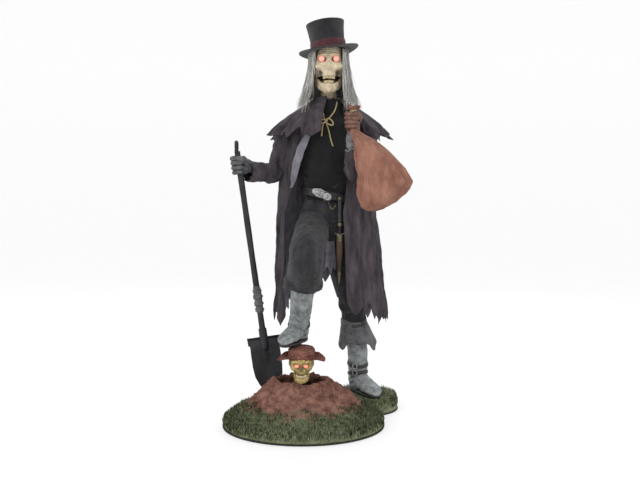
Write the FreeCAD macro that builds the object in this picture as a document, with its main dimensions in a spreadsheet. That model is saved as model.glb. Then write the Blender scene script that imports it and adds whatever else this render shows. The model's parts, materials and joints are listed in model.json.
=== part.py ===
"""Animated grave digger figure: a ghoul in a top hat and a ragged coat, one boot on a buried skull.

Units are millimetres, +Z is up, and the figure faces -Y. The origin is on the floor, under the
middle of the base. "left" and "right" are the figure's own, so its right hand is at -X.
"""
import math
import os

import FreeCAD
import Part
import Sketcher

from FreeCAD import Placement, Rotation, Vector

UP = Vector(0, 0, 1)
ACROSS = Vector(1, 0, 0)
BACK = Vector(0, 1, 0)
FORWARD = Vector(0, -1, 0)

doc = FreeCAD.newDocument("grave_digger_figure")
sheet = doc.addObject("Spreadsheet::Sheet", "Sizes")

DRIVING = (
    # The base: a mound with a low lobe behind it for the standing boot.
    ("pad_thickness", 3, "foam pads under the base plate"),
    ("pad_radius", 20, "foam pads"),
    ("plate_thickness", 6, "base plate"),
    ("shell_wall", 3, "moulded base shell"),
    ("mound_x", -42, "middle of the mound"),
    ("mound_y", -75, "middle of the mound"),
    ("mound_half_width", 357, "mound along X"),
    ("mound_half_depth", 320, "mound along Y"),
    ("mound_height", 190, "floor to the rim of the hole"),
    ("lobe_x", 233, "middle of the lobe"),
    ("lobe_y", 205, "middle of the lobe"),
    ("lobe_radius", 168, "lobe"),
    ("edge_height", 45, "floor to the top of the mound's grassy edge"),
    ("ground_height", 75, "floor to the ground under the standing boot"),
    ("hole_half_width", 100, "hole that the skull comes out of, along X"),
    ("hole_half_depth", 86, "hole along Y"),
    ("fit_gap", 0.5, "gap round a piece that drops into a cut-out"),
    # The steel frame.
    ("tube_radius", 12.5, "leg and spine tubes"),
    ("tube_wall", 1.5, "all tubes"),
    ("arm_tube_radius", 8, "arm tubes and shoulder bar"),
    ("tube_gap", 0.3, "radial gap between a tube and its socket"),
    ("socket_wall", 2.5, "tube sockets"),
    ("socket_height", 70, "tube sockets"),
    ("flange_side", 84, "square flanges of the sockets"),
    ("flange_thickness", 4, "square flanges of the sockets"),
    ("screw_radius", 3, "flange screws"),
    ("screw_gap", 0.15, "radial gap round a flange screw"),
    ("screw_spacing", 62, "flange screw pattern"),
    # The figure, stacked upwards from the ground.
    ("figure_x", 71, "spine"),
    ("figure_y", 225, "spine"),
    ("leg_length", 785, "ground to hips"),
    ("torso_length", 540, "hips to the top of the chest"),
    ("neck_length", 200, "top of the chest to the middle of the head"),
    ("hip_half_width", 79, "spine to each hip"),
    ("shoulder_half_width", 150, "spine to each end of the shoulder bar"),
    ("shoulder_drop", 84, "top of the chest to the shoulder bar"),
    ("torso_wall", 3, "blow-moulded chest shells"),
    ("shirt_thickness", 4, "shirt with its lining"),
    ("coat_thickness", 5, "coat with its lining"),
    ("layer_gap", 1, "between the chest, the shirt and the belt"),
    # The head.
    ("head_half_width", 78, "head along X"),
    ("head_half_depth", 98, "head along Y"),
    ("head_half_height", 120, "head along Z"),
    ("mask_wall", 3, "vinyl mask"),
    ("eye_radius", 13, "lit eye lenses"),
    ("eye_spacing", 66, "between the eyes"),
    ("hat_height", 128, "crown of the top hat"),
    ("hat_wall", 3, "felt of both hats"),
    ("brim_half_width", 139, "top hat brim along X"),
    ("hat_tilt", 8, "top hat leaning to the figure's right, degrees"),
    # The buried skull.
    ("skull_x", -52, "middle of the skull"),
    ("skull_y", -38, "middle of the skull"),
    ("skull_half_width", 57, "skull along X"),
    ("skull_half_depth", 75, "skull along Y"),
    ("skull_half_height", 62, "skull along Z"),
    ("skull_lift", 80, "rim of the hole to the middle of the skull"),
    ("skull_hat_height", 76, "middle of the skull to the top of its hat"),
    # Gears.
    ("gear_gap", 0.05, "radial running clearance on axles"),
    ("neck_module", 1.5, "neck gears"),
    ("jaw_module", 1.0, "jaw gears"),
    # Boots, hands and what they hold.
    ("boot_length", 262, "heel to toe"),
    ("boot_half_width", 48, "across the foot"),
    ("boot_shaft_radius", 47, "boot at the ankle"),
    ("shovel_radius", 14, "shovel shaft"),
    ("grip_gap", 0.4, "radial gap between a hand and what it holds"),
    ("cuff_height", 131, "turned-down leather cuff"),
    ("cuff_wall", 4, "turned-down leather cuff"),
    ("blade_width", 158, "shovel blade"),
    ("blade_length", 262, "shovel blade"),
    ("blade_thickness", 3, "shovel blade"),
    ("cord_radius", 3, "twine that ties the cape"),
    # The control box in the back of the base.
    ("box_length", 150, "control box along X"),
    ("box_depth", 84, "control box along Y"),
    ("box_height", 81, "control box along Z"),
    ("box_wall", 2.5, "control box"),
    ("cell_radius", 13, "battery cells"),
    ("cell_length", 50, "battery cells"),
)
for row, (alias, number, note) in enumerate(DRIVING, 1):
    sheet.set(f"A{row}", note)
    sheet.set(f"B{row}", str(number))
    sheet.setAlias(f"B{row}", alias)
doc.recompute()


def mm(formula):
    """The value of a formula over the sheet's cells, such as mm("Sizes.leg_length / 2")."""
    return float(sheet.evalExpression(formula))


# Levels and places that several pieces share, as formulas over the sheet.
PLATE_TOP = "(Sizes.pad_thickness + Sizes.plate_thickness)"
HIP_Z = "(Sizes.ground_height + Sizes.leg_length)"
CHEST_TOP = f"({HIP_Z} + Sizes.torso_length)"
SHOULDER_Z = f"({CHEST_TOP} - Sizes.shoulder_drop)"
HEAD_Z = f"({CHEST_TOP} + Sizes.neck_length)"
HEAD_Y = "(Sizes.figure_y - 35)"
NECK_Y = "(Sizes.figure_y - 15)"
SKULL_Z = "(Sizes.mound_height + Sizes.skull_lift)"
RAISED_SOLE_Z = f"({SKULL_Z} + Sizes.skull_hat_height + Sizes.fit_gap)"

FIG_X, FIG_Y = mm("Sizes.figure_x"), mm("Sizes.figure_y")
HIP, CHEST, HEAD = mm(HIP_Z), mm(CHEST_TOP), mm(HEAD_Z)
SHOULDER = mm(SHOULDER_Z)
EDGE, GROUND = mm("Sizes.edge_height"), mm("Sizes.ground_height")
TUBE = mm("Sizes.tube_radius")
ARM_TUBE = mm("Sizes.arm_tube_radius")
TUBE_GAP = mm("Sizes.tube_gap")

kept = []


def keep(piece, label):
    """Marks a document object as one sub-part of the figure."""
    piece.Label = label
    kept.append(piece)
    return piece


def bind(piece, **formulas):
    """Ties properties of a document object to the sheet."""
    for name, formula in formulas.items():
        piece.setExpression(name, formula)
    return piece


def place(piece, x="0", y="0", z="0", turn=None):
    """Puts a document object at a place given by formulas, turned first if asked."""
    piece.Placement = Placement(Vector(), turn or Rotation())
    for axis, formula in zip("xyz", (x, y, z)):
        piece.setExpression(f"Placement.Base.{axis}", str(formula))
    return piece


def primitive(kind, name, at=("0", "0", "0"), turn=None, **formulas):
    """A Part primitive with its sizes and its place tied to the sheet."""
    return place(bind(doc.addObject(f"Part::{kind}", name), **formulas), *at, turn=turn)


def cut(name, base, tool):
    piece = doc.addObject("Part::Cut", name)
    piece.Base, piece.Tool = base, tool
    return piece


def cut_each(name, base, shapes):
    """The base with several shapes cut from it, one after another."""
    for i, shape in enumerate(shapes):
        base = cut(f"{name}_{i}", base, feature(f"{name}_space_{i}", shape))
    return base


def fuse(name, *pieces):
    piece = doc.addObject("Part::MultiFuse", name)
    piece.Shapes = list(pieces)
    return piece


def feature(name, shape):
    """A free-form piece whose shape comes from Part's own functions."""
    piece = doc.addObject("Part::Feature", name)
    piece.Shape = shape
    return piece


def oval(centre, half_x, half_y, along=UP):
    """A closed oval wire about a centre, square to a direction."""
    stretch = FreeCAD.Matrix()
    stretch.scale(half_x, half_y, 1)
    edge = Part.Circle(Vector(), UP, 1).toShape().transformGeometry(stretch)
    wire = Part.Wire([edge])
    wire.Placement = Placement(centre, Rotation(UP, along))
    return wire


def skin(sections, grow=0.0, ruled=True):
    """A solid through ovals given as (centre, half_x, half_y), each wider by grow."""
    wires = [oval(c, a + grow, b + grow) for c, a, b in sections]
    return Part.makeLoft(wires, True, ruled)


JOINT_SWELL = 1.5


def limb(points, radii, grow=0.0):
    """A round solid along a bent line, with a radius at each point and a fuller ball at each bend."""
    solid = None
    for i in range(len(points) - 1):
        along = points[i + 1] - points[i]
        first, last = radii[i] + grow, radii[i + 1] + grow
        if abs(first - last) < 0.01:
            piece = Part.makeCylinder(first, along.Length, points[i], along)
        else:
            piece = Part.makeCone(first, last, along.Length, points[i], along)
        solid = piece if solid is None else solid.fuse([ball, piece])
        ball = Part.makeSphere(last + JOINT_SWELL, points[i + 1])
    return solid


def rounded_path(points, radius=None):
    """A wire of straight runs through points, joined by tangent arcs.

    With no radius, each arc is 0.45 of its shorter run divided by the tangent of half the turn.
    """
    edges, start = [], points[0]
    for before, corner, after in zip(points, points[1:], points[2:]):
        into, out = (corner - before), (after - corner)
        shorter = min(into.Length, out.Length)
        into, out = into.normalize(), out.normalize()
        half_turn = math.acos(max(-1.0, min(1.0, into.dot(out)))) / 2
        setback = 0.45 * shorter
        if radius is not None:
            setback = min(setback, radius * math.tan(half_turn))
        bulge = setback / math.tan(half_turn) * (1 / math.cos(half_turn) - 1)
        first, last = corner - into * setback, corner + out * setback
        middle = corner + (out - into).normalize() * bulge
        edges.append(Part.LineSegment(start, first).toShape())
        edges.append(Part.Arc(first, middle, last).toShape())
        start = last
    edges.append(Part.LineSegment(start, points[-1]).toShape())
    return Part.Wire(edges)


def rod_along(path, radius):
    """A round bar along a path of runs and arcs."""
    first = path.Edges[0]
    direction = first.tangentAt(first.FirstParameter)
    ring = Part.Wire([Part.Circle(first.valueAt(first.FirstParameter), direction, radius).toShape()])
    return path.makePipeShell([ring], True, False)


def tube_along(points, radius, bend):
    """A bent steel tube, open at both ends."""
    path = rounded_path(points, bend)
    return rod_along(path, radius).cut(rod_along(path, radius - mm("Sizes.tube_wall")))


def gear_face(module, teeth, first_tooth_deg, backlash=0.16):
    """The flat outline of a spur gear with 25 degree involute teeth about the origin."""
    pressure, addendum, dedendum = math.radians(25), 0.8, 1.1
    pitch = module * teeth / 2
    base, tip, root = pitch * math.cos(pressure), pitch + addendum * module, pitch - dedendum * module
    half_tooth = math.pi / (2 * teeth) - backlash * module / (2 * pitch)

    def half_angle(radius):
        angle = math.acos(min(1.0, base / max(radius, base)))
        return half_tooth + (math.tan(pressure) - pressure) - (math.tan(angle) - angle)

    radii = (root, max(base, root + 0.05 * module), pitch, tip)
    flank = [(r, half_angle(r)) for r in radii]
    corners = []
    for tooth in range(teeth):
        middle = math.radians(first_tooth_deg) + 2 * math.pi * tooth / teeth
        for side, order in ((-1, flank), (1, flank[::-1])):
            for r, a in order:
                angle = middle + side * a
                corners.append(Vector(r * math.cos(angle), r * math.sin(angle), 0))
    return Part.Face(Part.makePolygon(corners + corners[:1]))


def gear_solid(module, teeth, width, first_tooth_deg=0.0):
    return gear_face(module, teeth, first_tooth_deg).extrude(Vector(0, 0, width))


def aligned(shape, origin, along=UP):
    """The shape turned from +Z to a direction and moved to an origin."""
    moved = shape.copy()
    moved.Placement = Placement(origin, Rotation(UP, along))
    return moved


def pin(origin, radius, length, along=UP):
    return Part.makeCylinder(radius, length, origin, along)


def block(centre, x, y, z):
    """A box about a centre."""
    return Part.makeBox(x, y, z, centre - Vector(x / 2, y / 2, z / 2))


def egg(centre, half_x, half_y, half_z):
    """An ellipsoid about a centre."""
    matrix = FreeCAD.Matrix()
    matrix.scale(half_x, half_y, half_z)
    matrix.move(centre)
    return Part.makeSphere(1).transformGeometry(matrix)


def sketch_on(body, role, name):
    """A sketch on one of a body's own origin planes."""
    plane = [f for f in body.Origin.OriginFeatures if f.Role == role][0]
    sketch = body.newObject("Sketcher::SketchObject", name)
    sketch.AttachmentSupport = [(plane, "")]
    sketch.MapMode = "FlatFace"
    return sketch


def rectangle(sketch, width, height):
    """A rectangle about the sketch's origin, its sides tied to formulas."""
    x, y = mm(width) / 2, mm(height) / 2
    corners = [Vector(-x, -y, 0), Vector(x, -y, 0), Vector(x, y, 0), Vector(-x, y, 0)]
    for a, b in zip(corners, corners[1:] + corners[:1]):
        sketch.addGeometry(Part.LineSegment(a, b), False)
    for i in range(4):
        sketch.addConstraint(Sketcher.Constraint("Coincident", i, 2, (i + 1) % 4, 1))
        sketch.addConstraint(Sketcher.Constraint("Horizontal" if i % 2 == 0 else "Vertical", i))
    sketch.addConstraint(Sketcher.Constraint("Symmetric", 0, 1, 1, 2, -1, 1))
    across = sketch.addConstraint(Sketcher.Constraint("DistanceX", 0, 1, 0, 2, 2 * x))
    upright = sketch.addConstraint(Sketcher.Constraint("DistanceY", 1, 1, 1, 2, 2 * y))
    sketch.setExpression(f"Constraints[{across}]", width)
    sketch.setExpression(f"Constraints[{upright}]", height)


def padded_body(name, outline, height, at, turn=None, fillet=None):
    """A PartDesign body: a sketched outline padded upwards, with its upright edges rounded."""
    body = doc.addObject("PartDesign::Body", name)
    sketch = sketch_on(body, "XY_Plane", name + "_outline")
    outline(sketch)
    pad = body.newObject("PartDesign::Pad", name + "_pad")
    pad.Profile = sketch
    pad.setExpression("Length", height)
    doc.recompute()
    if fillet:
        upright = [
            f"Edge{i}"
            for i, e in enumerate(pad.Shape.Edges, 1)
            if abs(e.tangentAt(e.FirstParameter).z) > 0.99 and e.Curve.TypeId == "Part::GeomLine"
        ]
        rounding = body.newObject("PartDesign::Fillet", name + "_rounding")
        rounding.Base = (pad, upright)
        rounding.Radius = fillet
        doc.recompute()
    return place(body, *at, turn=turn)


# ---------------------------------------------------------------- base

MOUND = Vector(mm("Sizes.mound_x"), mm("Sizes.mound_y"), 0)
SKULL = Vector(mm("Sizes.skull_x"), mm("Sizes.skull_y"), mm(SKULL_Z))
LOBE = Vector(mm("Sizes.lobe_x"), mm("Sizes.lobe_y"), 0)
RISE = mm("Sizes.mound_height") - EDGE

# Height and share of the full oval, from the ground's edge up to the rim of the hole.
MOUND_PROFILE = ((0.0, 0.90), (0.07, 0.84), (0.38, 0.68), (0.72, 0.51), (0.96, 0.37), (1.0, 0.31))


def mound_sections(inset=0.0):
    """Ovals of the mound, drifting from its own middle towards the skull as they rise."""
    width, depth = mm("Sizes.mound_half_width"), mm("Sizes.mound_half_depth")
    low = mm(PLATE_TOP) - (inset and 1)
    sections = [
        (Vector(MOUND.x, MOUND.y, low), width - inset, depth - inset),
        (Vector(MOUND.x, MOUND.y, EDGE - 6 - inset), 0.985 * width - inset, 0.985 * depth - inset),
    ]
    for rise, share in MOUND_PROFILE:
        drift = max(0.0, min(1.0, (0.90 - share) / 0.55))
        middle = MOUND + Vector(SKULL.x - MOUND.x, SKULL.y - MOUND.y, 0) * drift
        middle.z = EDGE + RISE * rise - inset
        sections.append((middle, share * width - inset, share * depth - inset))
    return sections


# Height below the top and share of the full radius, up the side of the lobe.
LOBE_PROFILE = ((42, 0.99), (10, 0.95), (0, 0.90))


def lobe_sections(inset=0.0):
    """Circles of the lobe, from the base plate to the flat ground under the standing boot."""
    radius = mm("Sizes.lobe_radius")
    low = mm(PLATE_TOP) - (inset and 1)
    sections = [(Vector(LOBE.x, LOBE.y, low), radius - inset, radius - inset)]
    for down, share in LOBE_PROFILE:
        middle = Vector(LOBE.x, LOBE.y, GROUND - down - inset)
        sections.append((middle, share * radius - inset, share * radius - inset))
    return sections


# Where the leg tubes stand: under the ankle of the standing boot, and behind the skull.
LEFT_POST = Vector(213, 258, mm(PLATE_TOP))
RIGHT_POST = Vector(SKULL.x - 14, SKULL.y + 128, mm(PLATE_TOP))

# The shovel runs from above the right hand to a slot in the mound's back slope.
GRIP = Vector(FIG_X - 404, FIG_Y - 180, SHOULDER - 168)
BLADE_TIP = Vector(MOUND.x - 150, MOUND.y + 128, EDGE + 0.47 * RISE)
SHOVEL_LINE = (GRIP - BLADE_TIP).normalize()

BOX = Vector(MOUND.x - 5, MOUND.y + mm("Sizes.mound_half_depth") - 25, mm(PLATE_TOP))


def build_base():
    wall = mm("Sizes.shell_wall")
    shell = skin(mound_sections()).fuse(skin(lobe_sections()))
    hole_sides = mm("Sizes.hole_half_width"), mm("Sizes.hole_half_depth")
    hole = skin([(Vector(SKULL.x, SKULL.y, z), *hole_sides) for z in (EDGE + 30, SKULL.z)])
    clear = mm("Sizes.tube_radius + Sizes.tube_gap + Sizes.socket_wall + Sizes.fit_gap")
    posts = [pin(p - UP, clear, mm("Sizes.mound_height")) for p in (LEFT_POST, RIGHT_POST)]
    gap = mm("Sizes.fit_gap")
    slot = block(BLADE_TIP + UP * 10, mm("Sizes.blade_width") * 0.82, mm("Sizes.blade_thickness") + 20, 150)
    tread = boot_outline(grow=2).extrude(UP * mm("Sizes.mound_height"))
    tread.Placement = Placement(Vector(LEFT_POST.x, LEFT_POST.y, GROUND), Rotation(UP, LEFT_TURN))
    box = block(
        BOX + UP * mm("Sizes.box_height / 2"),
        mm("Sizes.box_length") + 2 * gap,
        mm("Sizes.box_depth") + 2 * gap,
        mm("Sizes.box_height") + 2 * gap,
    )
    for space in (skin(mound_sections(wall)), skin(lobe_sections(wall)), hole, *posts, slot, box, tread):
        shell = shell.cut(space)
    keep(feature("base_shell_shape", shell), "base_shell")

    across, deep = mm("Sizes.mound_half_width"), mm("Sizes.mound_half_depth")
    radius = mm("Sizes.lobe_radius")
    slabs = []
    for middle, half_x, half_y in ((MOUND, across, deep), (LOBE, radius, radius)):
        low = Vector(middle.x, middle.y, mm("Sizes.pad_thickness"))
        slabs.append(Part.Face(oval(low, half_x, half_y)).extrude(UP * mm("Sizes.plate_thickness")))
    screw_clear = mm("Sizes.screw_radius + Sizes.screw_gap")
    plate = slabs[0].fuse(slabs[1]).removeSplitter()
    for x, y in screw_places():
        plate = plate.cut(pin(Vector(x, y, 0), screw_clear, 20))
    keep(feature("base_plate_shape", plate), "base_plate")

    pads = []
    spots = [Vector(0, 0, 0), LOBE + Vector(45, 55, 0)]
    for turn in (95, 150, 205, 250, 295, 350):
        angle = math.radians(turn)
        spots.append(MOUND + Vector(across * math.cos(angle), deep * math.sin(angle), 0) * 0.86)
    for i, spot in enumerate(spots):
        at = (spot.x, spot.y, "0")
        pad = primitive("Cylinder", f"pad_{i}", at, Radius="Sizes.pad_radius", Height="Sizes.pad_thickness")
        pads.append(pad)
    keep(fuse("pads", *pads), "base_pads")


def screw_places():
    """The flange screws of both tube sockets."""
    half = mm("Sizes.screw_spacing / 2")
    sides = [(x, y) for x in (-half, half) for y in (-half, half)]
    return [(post.x + x, post.y + y) for post in (LEFT_POST, RIGHT_POST) for x, y in sides]


def build_sockets():
    sockets = []
    bore = TUBE + TUBE_GAP
    for post in (LEFT_POST, RIGHT_POST):
        side, thick = mm("Sizes.flange_side"), mm("Sizes.flange_thickness")
        flange = block(post + UP * thick / 2, side, side, thick)
        stub = pin(post, bore + mm("Sizes.socket_wall"), mm("Sizes.socket_height"))
        solid = flange.fuse(stub).cut(pin(post + UP * thick, bore, mm("Sizes.socket_height")))
        for x, y in screw_places():
            solid = solid.cut(pin(Vector(x, y, 0), mm("Sizes.screw_radius + Sizes.screw_gap"), 40))
        sockets.append(solid.removeSplitter())
    keep(feature("sockets", Part.makeCompound(sockets)), "leg_sockets")

    screws = []
    low, top = mm("Sizes.pad_thickness"), mm(f"{PLATE_TOP} + Sizes.flange_thickness")
    for x, y in screw_places():
        shank = pin(Vector(x, y, low), mm("Sizes.screw_radius"), top - low + 1)
        head = pin(Vector(x, y, top), 2 * mm("Sizes.screw_radius"), 4)
        screws.append(shank.fuse(head).removeSplitter())
    keep(feature("screws", Part.makeCompound(screws)), "base_screws")


# ---------------------------------------------------------------- control box


def build_controls():
    length, depth, height = "Sizes.box_length", "Sizes.box_depth", "Sizes.box_height"
    wall = mm("Sizes.box_wall")
    body = doc.addObject("PartDesign::Body", "control_box_body")
    outline = sketch_on(body, "XY_Plane", "box_outline")
    rectangle(outline, length, depth)
    pad = body.newObject("PartDesign::Pad", "box_pad")
    pad.Profile = outline
    pad.setExpression("Length", height)
    inside = sketch_on(body, "XY_Plane", "box_inside")
    inside.setExpression("AttachmentOffset.Base.z", "Sizes.box_wall")
    rectangle(inside, f"{length} - 2 * Sizes.box_wall", f"{depth} - 2 * Sizes.box_wall")
    pocket = body.newObject("PartDesign::Pocket", "box_pocket")
    pocket.Profile = inside
    pocket.Reversed = True
    pocket.setExpression("Length", f"{height} - Sizes.box_wall")
    doc.recompute()
    place(body, BOX.x, BOX.y, PLATE_TOP)
    rear = BOX.y + mm(depth) / 2
    middle = mm(f"{PLATE_TOP} + {height} / 2")
    openings = [
        pin(SPEAKER + BACK * -4 + Vector(x * 9, 0, z * 9), 2.4, 16, BACK)
        for x in (-1, 0, 1)
        for z in (-1, 0, 1)
    ]
    openings.append(block(Vector(SWITCH.x, rear, SWITCH.z), 17, 12, 7))
    openings.append(pin(Vector(BUTTON.x, rear - 6, BUTTON.z), 8.3, 12, BACK))
    openings.append(pin(Vector(BOX.x + mm(length) / 2 - 14, rear - 6, middle - 24), 4, 12, BACK))
    keep(cut_each("box_opening", body, openings), "control_box")

    door = padded_body(
        "battery_door_body",
        lambda s: rectangle(s, length, depth),
        "Sizes.box_wall",
        (BOX.x, BOX.y, f"{PLATE_TOP} + {height} + Sizes.tube_gap"),
        fillet=3,
    )
    keep(door, "battery_door")

    knob = block(Vector(SWITCH.x, rear + 1.5, SWITCH.z), 6, 7, 6)
    slider = block(Vector(SWITCH.x, rear - wall - 1.2, SWITCH.z), 26, 1.6, 10)
    keep(feature("switch_knob", knob.fuse(slider).removeSplitter()), "mode_switch")

    cap = pin(Vector(BUTTON.x, rear - wall - 0.4, BUTTON.z), 7.8, wall + 5, BACK)
    lip = pin(Vector(BUTTON.x, rear - wall - 2, BUTTON.z), 10, 1.6, BACK)
    keep(feature("button_cap", cap.fuse(lip).removeSplitter()), "demo_button")

    cone = Part.makeCone(12, 25, 9, Vector(SPEAKER.x, rear - wall - 0.3 - 12, SPEAKER.z), BACK)
    magnet = pin(Vector(SPEAKER.x, rear - wall - 0.3 - 22, SPEAKER.z), 15, 10.5, BACK)
    rim = pin(Vector(SPEAKER.x, rear - wall - 0.3 - 3, SPEAKER.z), 25, 3, BACK)
    keep(feature("speaker_unit", cone.fuse(magnet).fuse(rim).removeSplitter()), "speaker")

    radius, cell = mm("Sizes.cell_radius"), mm("Sizes.cell_length")
    cells = []
    for i in range(2):
        for j in range(2):
            start = Vector(
                BOX.x - mm(length) / 2 + wall + 4 + i * (cell + 3),
                BOX.y - mm(depth) / 2 + wall + 1 + radius,
                mm(PLATE_TOP) + wall + radius + 0.5 + j * (2 * radius + 1),
            )
            nub = pin(start + ACROSS * cell, 3, 1.5, ACROSS)
            cells.append(pin(start, radius, cell, ACROSS).fuse(nub).removeSplitter())
    keep(feature("cells", Part.makeCompound(cells)), "battery_cells")


REAR_Z = mm(f"{PLATE_TOP} + Sizes.box_height / 2")
REAR_Y = BOX.y + mm("Sizes.box_depth / 2")
SPEAKER = Vector(BOX.x + 35, REAR_Y, REAR_Z + 4)
SWITCH = Vector(BOX.x - 45, REAR_Y, REAR_Z + 18)
BUTTON = Vector(BOX.x - 45, REAR_Y, REAR_Z - 10)


# ---------------------------------------------------------------- frame

LEFT_HIP = Vector(FIG_X + mm("Sizes.hip_half_width"), FIG_Y, HIP)
RIGHT_HIP = Vector(FIG_X - mm("Sizes.hip_half_width"), FIG_Y - 8, HIP)
KNEE = Vector(RIGHT_HIP.x - 17, FIG_Y - 315, HIP - 125)
SOLE = mm(RAISED_SOLE_Z)
ANKLE = Vector(RIGHT_POST.x, RIGHT_POST.y, SOLE + 62)
LEFT_LEG = [
    LEFT_POST + UP * mm("Sizes.flange_thickness"),
    LEFT_POST + UP * 120,
    LEFT_HIP - UP * 30,
]
RIGHT_LEG = [
    RIGHT_POST + UP * mm("Sizes.flange_thickness"),
    ANKLE,
    KNEE,
    RIGHT_HIP - BACK * 26,
]
HUB = (mm("2 * Sizes.hip_half_width") + 50, 46, 62)
SPINE_FOOT = Vector(FIG_X, FIG_Y, HIP + 32)
SPINE_TOP = Vector(FIG_X, FIG_Y - 15, CHEST - 12)


def build_frame():
    for name, line, bend in (("leg_tube_left", LEFT_LEG, 150), ("leg_tube_right", RIGHT_LEG, 60)):
        keep(feature(name + "_shape", tube_along(line, TUBE, bend)), name)

    # The hip block takes both leg tubes and the spine in blind bores.
    hub = block(Vector(FIG_X, FIG_Y, HIP), *HUB)
    clear = TUBE + TUBE_GAP
    for line in (LEFT_LEG, RIGHT_LEG):
        hub = hub.cut(limb_bore(line[-2], line[-1], clear))
    hub = hub.fuse(pin(SPINE_FOOT - UP * 10, COLLAR, 60)).cut(pin(SPINE_FOOT - UP * 14, clear, 100))
    hub = hub.cut(pin(BUTTON_SPOT, 4.2, 40, FORWARD))
    keep(feature("hip_block", hub), "pelvis_block")

    spine = tube_along(SPINE_LINE, TUBE, 400)
    keep(feature("spine_shape", spine.cut(pin(BUTTON_SPOT, 4.2, 40, FORWARD))), "spine_tube")
    stem = pin(BUTTON_SPOT + FORWARD * 6, 4.1, COLLAR - 6 + 2.5, FORWARD)
    foot = pin(BUTTON_SPOT + FORWARD * 6, 6, 2.2, FORWARD)
    keep(feature("snap_button", stem.fuse(foot).removeSplitter()), "spine_snap_button")

    reach = mm("Sizes.shoulder_half_width")
    bar_y = FIG_Y + 14
    bar = Part.makeCylinder(ARM_TUBE, 2 * reach, Vector(FIG_X - reach, bar_y, SHOULDER), ACROSS)
    bore = Part.makeCylinder(
        ARM_TUBE - mm("Sizes.tube_wall"), 2 * reach, Vector(FIG_X - reach, bar_y, SHOULDER), ACROSS
    )
    keep(feature("shoulder_bar_shape", bar.cut(bore)), "shoulder_bar")
    for name, line in (("arm_tube_right", RIGHT_ARM), ("arm_tube_left", LEFT_ARM)):
        keep(feature(name + "_shape", tube_along(line, ARM_TUBE, 34)), name)


def limb_bore(start, end, radius):
    """A bore along the last stretch of a tube, 1 mm past its end."""
    along = (end - start).normalize()
    return pin(end - along * 120, radius, 121, along)


SPINE_LINE = [SPINE_FOOT - UP * 13.5, SPINE_FOOT + UP * 220, SPINE_TOP]
BUTTON_SPOT = SPINE_FOOT + UP * 30
COLLAR = TUBE + TUBE_GAP + 4
BAR_Y = FIG_Y + 14
REACH = mm("Sizes.shoulder_half_width")
WRIST_LINE = Vector(0.55, 0.835, 0.0)
RIGHT_ARM = [
    Vector(FIG_X - REACH - 0.5, BAR_Y, SHOULDER),
    Vector(FIG_X - REACH - 36, BAR_Y, SHOULDER),
    Vector(FIG_X - REACH - 93, FIG_Y - 6, SHOULDER - 196),
    GRIP + Vector(34, 52, -4),
]
FIST = Vector(FIG_X + 107, FIG_Y - 205, CHEST - 55)
LEFT_ARM = [
    Vector(FIG_X + REACH + 0.5, BAR_Y, SHOULDER),
    Vector(FIG_X + REACH + 36, BAR_Y, SHOULDER),
    Vector(FIG_X + 112, FIG_Y - 158, SHOULDER - 200),
    FIST + Vector(2, 30, -40),
]


# ---------------------------------------------------------------- chest and clothes

# Ovals of the chest from the waist to the neck: share of the torso's length, half width, half depth.
CHEST_PROFILE = ((0.24, 106, 76), (0.52, 120, 84), (0.74, 126, 88), (0.89, 114, 78), (1.0, 60, 56))


def chest_sections(low=0.0, high=0.0, collar=0.0):
    """Ovals of the chest, stretched past the waist by low and past the neck by high."""
    sections = []
    for share, a, b in CHEST_PROFILE:
        z = HIP + share * (CHEST - HIP)
        sections.append([Vector(FIG_X, FIG_Y, z), a, b])
    sections[0][0].z -= low
    sections[-1][0].z += high
    if collar:
        sections.append([Vector(FIG_X, FIG_Y, CHEST + collar), 58, 56])
    return [tuple(s) for s in sections]


def arm_clearance(gap):
    """The space round both arms and the shoulder bar."""
    return [limb(line, radii, gap) for line, radii in ((RIGHT_ARM, RIGHT_SLEEVE), (LEFT_ARM, LEFT_SLEEVE))]


RIGHT_SLEEVE = (30, 38, 43, 40)
LEFT_SLEEVE = (30, 38, 39, 31)


def build_torso():
    wall, gap = mm("Sizes.torso_wall"), mm("Sizes.layer_gap")
    outer = skin(chest_sections())
    inner = skin(chest_sections(low=2, high=2), grow=-wall)
    shell = outer.cut(inner)
    bar = Part.makeCylinder(ARM_TUBE + gap, 800, Vector(FIG_X - 400, BAR_Y, SHOULDER), ACROSS)
    shell = shell.cut(bar)
    for name, side in (("torso_front_shell", -1), ("torso_back_shell", 1)):
        half = block(Vector(FIG_X, FIG_Y + side * (200 + TUBE_GAP), (HIP + CHEST) / 2), 600, 400, 900)
        keep(feature(name + "_shape", shell.common(half)), name)

    thick = mm("Sizes.shirt_thickness")
    shirt = skin(chest_sections(low=22, collar=58), grow=gap + thick)
    shirt = shirt.cut(skin(chest_sections(low=24, collar=60), grow=gap)).cut(bar)
    keep(feature("shirt_shape", shirt), "shirt")


# Ovals of the coat from its collar down: drop, half width, half depth, and drift along X.
COAT_PROFILE = (
    (0, 118, 84, 0),
    (-40, 158, 100, 0),
    (-150, 196, 114, -6),
    (-360, 220, 128, -11),
    (-540, 232, 145, -8),
    (-975, 258, 190, 14),
)


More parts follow.
